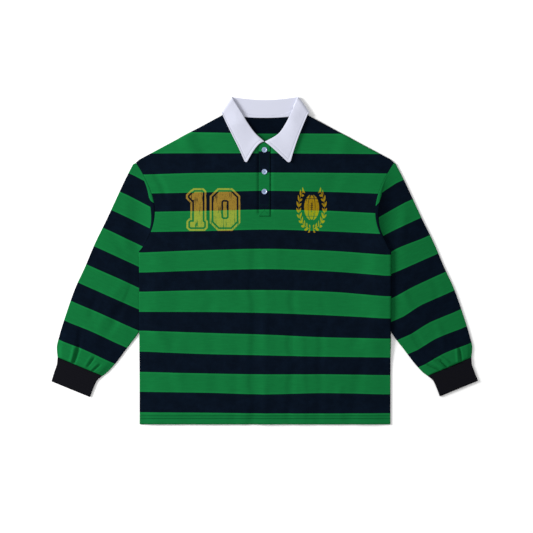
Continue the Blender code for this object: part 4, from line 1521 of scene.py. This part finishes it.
def worn_away(tree, x, y):
    """1 where the print has stayed, 0 in its cracks: upright streaks and small specks."""
    down = put(tree, "Math", (y, CRACK_STRETCH), operation="MULTIPLY")
    flat = put(tree, "CombineXYZ", (x, down, 0.0))
    streaks = put(tree, "TexNoise", {"Vector": flat, "Scale": 1.0 / CRACK_SIZE, "Detail": 2.0})
    streaks = put(tree, "MapRange", (streaks, *CRACK_LEVELS))
    down = put(tree, "Math", (y, SPECK_STRETCH), operation="MULTIPLY")
    flat = put(tree, "CombineXYZ", (x, down, SPECK_SLICE))
    specks = {"Vector": flat, "Scale": 1.0 / SPECK_SIZE, "Detail": 3.0, "Roughness": 0.7}
    specks = put(tree, "MapRange", (put(tree, "TexNoise", specks), *SPECK_LEVELS))
    return put(tree, "Math", (streaks, specks), operation="MULTIPLY")


def hoops(tree, cloth):
    """Colour of the yarn-dyed hoops with their frayed edges, and 1 where they are green."""
    hoop = put(tree, "Attribute", out=2, attribute_name="hoop")
    fray = put(tree, "TexNoise", {"Vector": cloth, "Scale": 1.0 / FRAY_SIZE, "Detail": 1.0})
    fray = put(tree, "Math", (fray, 0.5), operation="SUBTRACT")
    hoop = put(tree, "Math", (fray, FRAY_SHARE, hoop), operation="MULTIPLY_ADD")
    wave = put(tree, "Math", (hoop, 0.5), operation="ADD")
    wave = put(tree, "Math", (wave, 1.0), operation="PINGPONG")
    green = put(tree, "MapRange", (wave, 0.5 - HOOP_EDGE, 0.5 + HOOP_EDGE))
    rim = put(tree, "MapRange", (wave, *GREEN_RIM_SPAN, 1.0, 0.0))
    bright = put(tree, "Mix", {SHARE: rim, FIRST: linear(GREEN), SECOND: linear(GREEN_RIM)}, **COLOURS)
    worn = {"Vector": cloth, "Scale": 1.0 / PATCH_SIZE, "Detail": 5.0, "Roughness": 0.75}
    worn = put(tree, "MapRange", (put(tree, "TexNoise", worn), *PATCH_LEVELS))
    dark = put(tree, "Mix", {SHARE: worn, FIRST: linear(NAVY), SECOND: linear(NAVY_WORN)}, **COLOURS)
    return put(tree, "Mix", {SHARE: green, FIRST: dark, SECOND: bright}, **COLOURS), green


def chest_print(tree, colour, green, x, y):
    """A thin mustard and yellow film over the hoops, which show through it and in its cracks."""
    mask = put(tree, "Math", (number_mask(tree, x, y), motif_mask(tree, x, y)), operation="MAXIMUM")
    mask = put(tree, "Math", (mask, worn_away(tree, x, y)), operation="MULTIPLY")
    mask = put(tree, "Math", (mask, PRINT_STRENGTH), operation="MULTIPLY")
    motif = put(tree, "Math", (x, 0.0), operation="GREATER_THAN")
    on_navy = {SHARE: motif, FIRST: linear(MUSTARD_ON_NAVY), SECOND: linear(YELLOW_ON_NAVY)}
    on_green = {SHARE: motif, FIRST: linear(MUSTARD_ON_GREEN), SECOND: linear(YELLOW_ON_GREEN)}
    on_navy, on_green = (put(tree, "Mix", inputs, **COLOURS) for inputs in (on_navy, on_green))
    film = put(tree, "Mix", {SHARE: green, FIRST: on_navy, SECOND: on_green}, **COLOURS)
    return put(tree, "Mix", {SHARE: mask, FIRST: colour, SECOND: film}, **COLOURS)


def knitted_loops(tree, across, along):
    """Relief of the jersey's face: upright wales of V-shaped stitches."""
    wale = put(tree, "Math", (across, 0.5 * WALE), operation="PINGPONG")
    course = put(tree, "Math", (wale, WALE_SKEW, along), operation="MULTIPLY_ADD")
    course = put(tree, "Math", (course, 2.0 * math.pi / COURSE), operation="MULTIPLY")
    course = put(tree, "Math", (course,), operation="SINE")
    column = put(tree, "Math", (wale, math.pi / WALE), operation="MULTIPLY")
    column = put(tree, "Math", (column,), operation="SINE")
    return put(tree, "Math", (course, COURSE_DEPTH, column), operation="MULTIPLY_ADD")


def hooped_jersey(name, printed=False, painted_shade_factor=1.0):
    """Heavy cotton jersey, yarn-dyed in hoops: matt and soft, with a fine knitted grain and faint
    streaks along its courses. The hem's rows of stitches sink in and carry painted shade, and a
    factor below 1 darkens the whole colour as painted shade."""
    material, tree, shader = new_material(name, 0.95, 0.0)
    place = put(tree, "VectorMath", (put(tree, "TexCoord", out=3), IN_MM), operation="MULTIPLY")
    x = put(tree, "SeparateXYZ", (place,))
    y = put(tree, "SeparateXYZ", (place,), out=1)
    cloth = put(tree, "UVMap", uv_map="cloth")
    cloth = put(tree, "VectorMath", (cloth, IN_MM), operation="MULTIPLY")
    across = put(tree, "SeparateXYZ", (cloth,))
    along = put(tree, "SeparateXYZ", (cloth,), out=1)

    colour, green = hoops(tree, cloth)
    if printed:
        colour = chest_print(tree, colour, green, x, y)
    streak = put(tree, "Math", (across, STREAK_STRETCH), operation="MULTIPLY")
    streak = put(tree, "CombineXYZ", (streak, along, 0.0))
    streak = {"Vector": streak, "Scale": 1.0 / STREAK_SIZE, "Detail": 4.0, "Roughness": 0.7}
    # Painted shade: the last argument scales the whole colour down, for the sleeves and the inside of the
    # neck
    darkest, lightest = (1.0 - STREAK_CONTRAST) * painted_shade_factor, (1.0 + STREAK_CONTRAST) * painted_shade_factor
    shade = put(tree, "MapRange", (put(tree, "TexNoise", streak), *STREAK_LEVELS, darkest, lightest))
    rows = [line_mask(tree, y, row, HEM_ROW_HALF) for row in HEM_STITCHES]
    rows = put(tree, "Math", rows, operation="MAXIMUM")
    # Painted shade: the cloth is darkened along the hem's rows of stitches, as in their grooves
    painted_row_shade = put(tree, "Math", (rows, -HEM_ROW_PAINTED_SHADE, 1.0), operation="MULTIPLY_ADD")
    shade = put(tree, "Math", (shade, painted_row_shade), operation="MULTIPLY")
    shade = put(tree, "CombineXYZ", (shade, shade, shade))
    colour = put(tree, "VectorMath", (colour, shade), operation="MULTIPLY")
    tree.links.new(colour, shader.inputs["Base Color"])

    relief = knitted_loops(tree, across, along)
    relief = put(tree, "Math", (rows, -HEM_ROW_DEPTH, relief), operation="MULTIPLY_ADD")
    bump = put(tree, "Bump", {"Height": relief, "Strength": 0.5, "Distance": 0.12 * MM})
    tree.links.new(bump, shader.inputs["Normal"])
    return material


def charcoal_rib():
    """Cotton rib, piece-dyed near black: matt, with fine ribs along the arm, whose colour is darker in their
    hollows and lighter on their crests as painted shade and light.
    """
    material, tree, shader = new_material("Charcoal cotton rib", 0.95, 0.0)
    cloth = put(tree, "UVMap", uv_map="cloth")
    across = put(tree, "SeparateXYZ", (cloth,))
    rib = put(tree, "Math", (across, 2.0 * math.pi / (RIB_PITCH * MM)), operation="MULTIPLY")
    rib = put(tree, "Math", (rib,), operation="SINE")
    # Painted shade and light: the colour follows the ribs' relief, darker in the hollows and lighter on the
    # crests
    shade = put(tree, "MapRange", (rib, -1.0, 1.0))
    colour = put(tree, "Mix", {SHARE: shade, FIRST: linear("#0c0c10"), SECOND: linear("#17171c")}, **COLOURS)
    tree.links.new(colour, shader.inputs["Base Color"])
    bump = put(tree, "Bump", {"Height": rib, "Strength": 0.6, "Distance": 0.3 * MM})
    tree.links.new(bump, shader.inputs["Normal"])
    return material


def white_drill():
    """Bleached cotton drill: matt and bluish white, with a slanting twill grain."""
    material, tree, shader = new_material("White cotton drill", 0.85, 0.15)
    shader.inputs["Base Color"].default_value = linear("#c0c2d1")
    cloth = put(tree, "UVMap", uv_map="cloth")
    slant = (TWILL_SLANT[0] / MM, TWILL_SLANT[1] / MM, 0.0)
    slant = put(tree, "VectorMath", (cloth, slant), out=1, operation="DOT_PRODUCT")
    twill = put(tree, "Math", (slant, 2.0 * math.pi / TWILL_PITCH), operation="MULTIPLY")
    twill = put(tree, "Math", (twill,), operation="SINE")
    bump = put(tree, "Bump", {"Height": twill, "Strength": 0.25, "Distance": 0.08 * MM})
    tree.links.new(bump, shader.inputs["Normal"])
    return material


def sewing_thread(name, colour):
    """Spun polyester thread: matt, with its two plies just seen as a slanting stripe of painted shade and
    light.
    """
    material, tree, shader = new_material(name, 0.8, 0.0)
    place = put(tree, "TexCoord", out=3)
    plies = {"Vector": place, "Scale": 2.0 * math.pi / (WAVE_TURN * PLY_PITCH * MM)}
    plies = put(tree, "TexWave", plies, bands_direction="DIAGONAL")
    # Painted shade and light: the colour runs darker and lighter in a slanting stripe, for the plies' twist
    shade = put(tree, "MapRange", (plies, 0.0, 1.0, 0.8, 1.1))
    shade = put(tree, "CombineXYZ", (shade, shade, shade))
    colour = put(tree, "VectorMath", (linear(colour)[:3], shade), operation="MULTIPLY")
    tree.links.new(colour, shader.inputs["Base Color"])
    return material


def blue_polyester():
    """Cast polyester button: glossy, pale blue and slightly cloudy, like mother of pearl."""
    material, tree, shader = new_material("Cast blue polyester", 0.22, 0.5)
    place = put(tree, "TexCoord", out=3)
    cloud = {"Vector": place, "Scale": 1.0 / (CLOUD_SIZE * MM), "Detail": 3.0, "Distortion": 1.5}
    cloud = put(tree, "MapRange", (put(tree, "TexNoise", cloud), *CLOUD_LEVELS))
    colour = put(tree, "Mix", {SHARE: cloud, FIRST: linear("#7588ae"), SECOND: linear("#9fafcb")}, **COLOURS)
    tree.links.new(colour, shader.inputs["Base Color"])
    shader.inputs["Coat Weight"].default_value = 0.3
    return material


def white_paper():
    """Uncoated white paper: flat and matt, so that it shows nothing but soft shadows."""
    material, _, shader = new_material("Uncoated white paper", 1.0, 0.0)
    shader.inputs["Base Color"].default_value = linear("#fdfdfd")
    return material


def studio():
    """Pale floor, soft light and a camera straight above."""
    bm = bmesh.new()
    bmesh.ops.create_grid(bm, x_segments=1, y_segments=1, size=FLOOR_HALF)
    mesh = bpy.data.meshes.new("Floor")
    bm.to_mesh(mesh)
    bm.free()
    surface = bpy.data.objects.new("Floor", mesh)
    surface.location.z = -FLOOR_GAP
    bpy.context.scene.collection.objects.link(surface)
    mesh.materials.append(white_paper())

    world = bpy.data.worlds.new("Studio")
    world.use_nodes = True
    world.node_tree.nodes["Background"].inputs["Color"].default_value = (1.0, 1.0, 1.0, 1.0)
    world.node_tree.nodes["Background"].inputs["Strength"].default_value = ROOM_LIGHT
    bpy.context.scene.world = world
    bpy.context.scene.view_settings.view_transform = "Standard"

    lamp = bpy.data.lights.new("Softbox", "AREA")
    lamp.size = SOFTBOX_SIZE
    lamp.energy = SOFTBOX_POWER
    softbox = bpy.data.objects.new("Softbox", lamp)
    softbox.location = SOFTBOX_PLACE
    softbox.rotation_mode = "QUATERNION"
    softbox.rotation_quaternion = Vector(SOFTBOX_PLACE).to_track_quat("Z", "Y")
    bpy.context.scene.collection.objects.link(softbox)

    camera = bpy.data.cameras.new("Camera")
    camera.lens = LENS
    camera.sensor_width = SENSOR
    viewer = bpy.data.objects.new("Camera", camera)
    viewer.location = (VIEW_X * MM, VIEW_Y * MM, (VIEW_WIDTH * LENS / SENSOR + VIEW_HEIGHT) * MM)
    bpy.context.scene.collection.objects.link(viewer)
    bpy.context.scene.camera = viewer


def main():
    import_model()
    jersey = hooped_jersey("Hooped cotton jersey")
    chest = hooped_jersey("Printed hooped cotton jersey", printed=True)
    # Painted shade: the sleeves' jersey is darkened as a whole
    turned = hooped_jersey("Hooped cotton jersey with painted shade", painted_shade_factor=SLEEVE_PAINTED_SHADE)
    # Painted shade: the back's face seen inside the neck is darkened as a whole, for the collar's shade
    inside = hooped_jersey("Hooped cotton jersey wrong side with painted shade", painted_shade_factor=INSIDE_PAINTED_SHADE)
    rib = charcoal_rib()
    drill = white_drill()
    build_back(jersey, inside)
    build_front(chest)
    for wearer, side in (("right", -1.0), ("left", 1.0)):
        build_sleeve(wearer, side, turned)
        build_cuff(wearer, side, rib)
    build_collar(drill)
    build_tape(drill)
    build_placket(jersey)
    # Painted shade: the white thread is coloured a grey darker than the drill, for the shade in its stitched
    # groove
    collar_stitching(sewing_thread("White sewing thread with painted shade", "#aaacba"))
    dark_thread = sewing_thread("Dark green sewing thread", "#092c1e")
    placket_stitching(dark_thread)
    hem_stitching(dark_thread)
    build_buttons(blue_polyester(), sewing_thread("Pale blue sewing thread", "#6a7ca0"))
    studio()


main()
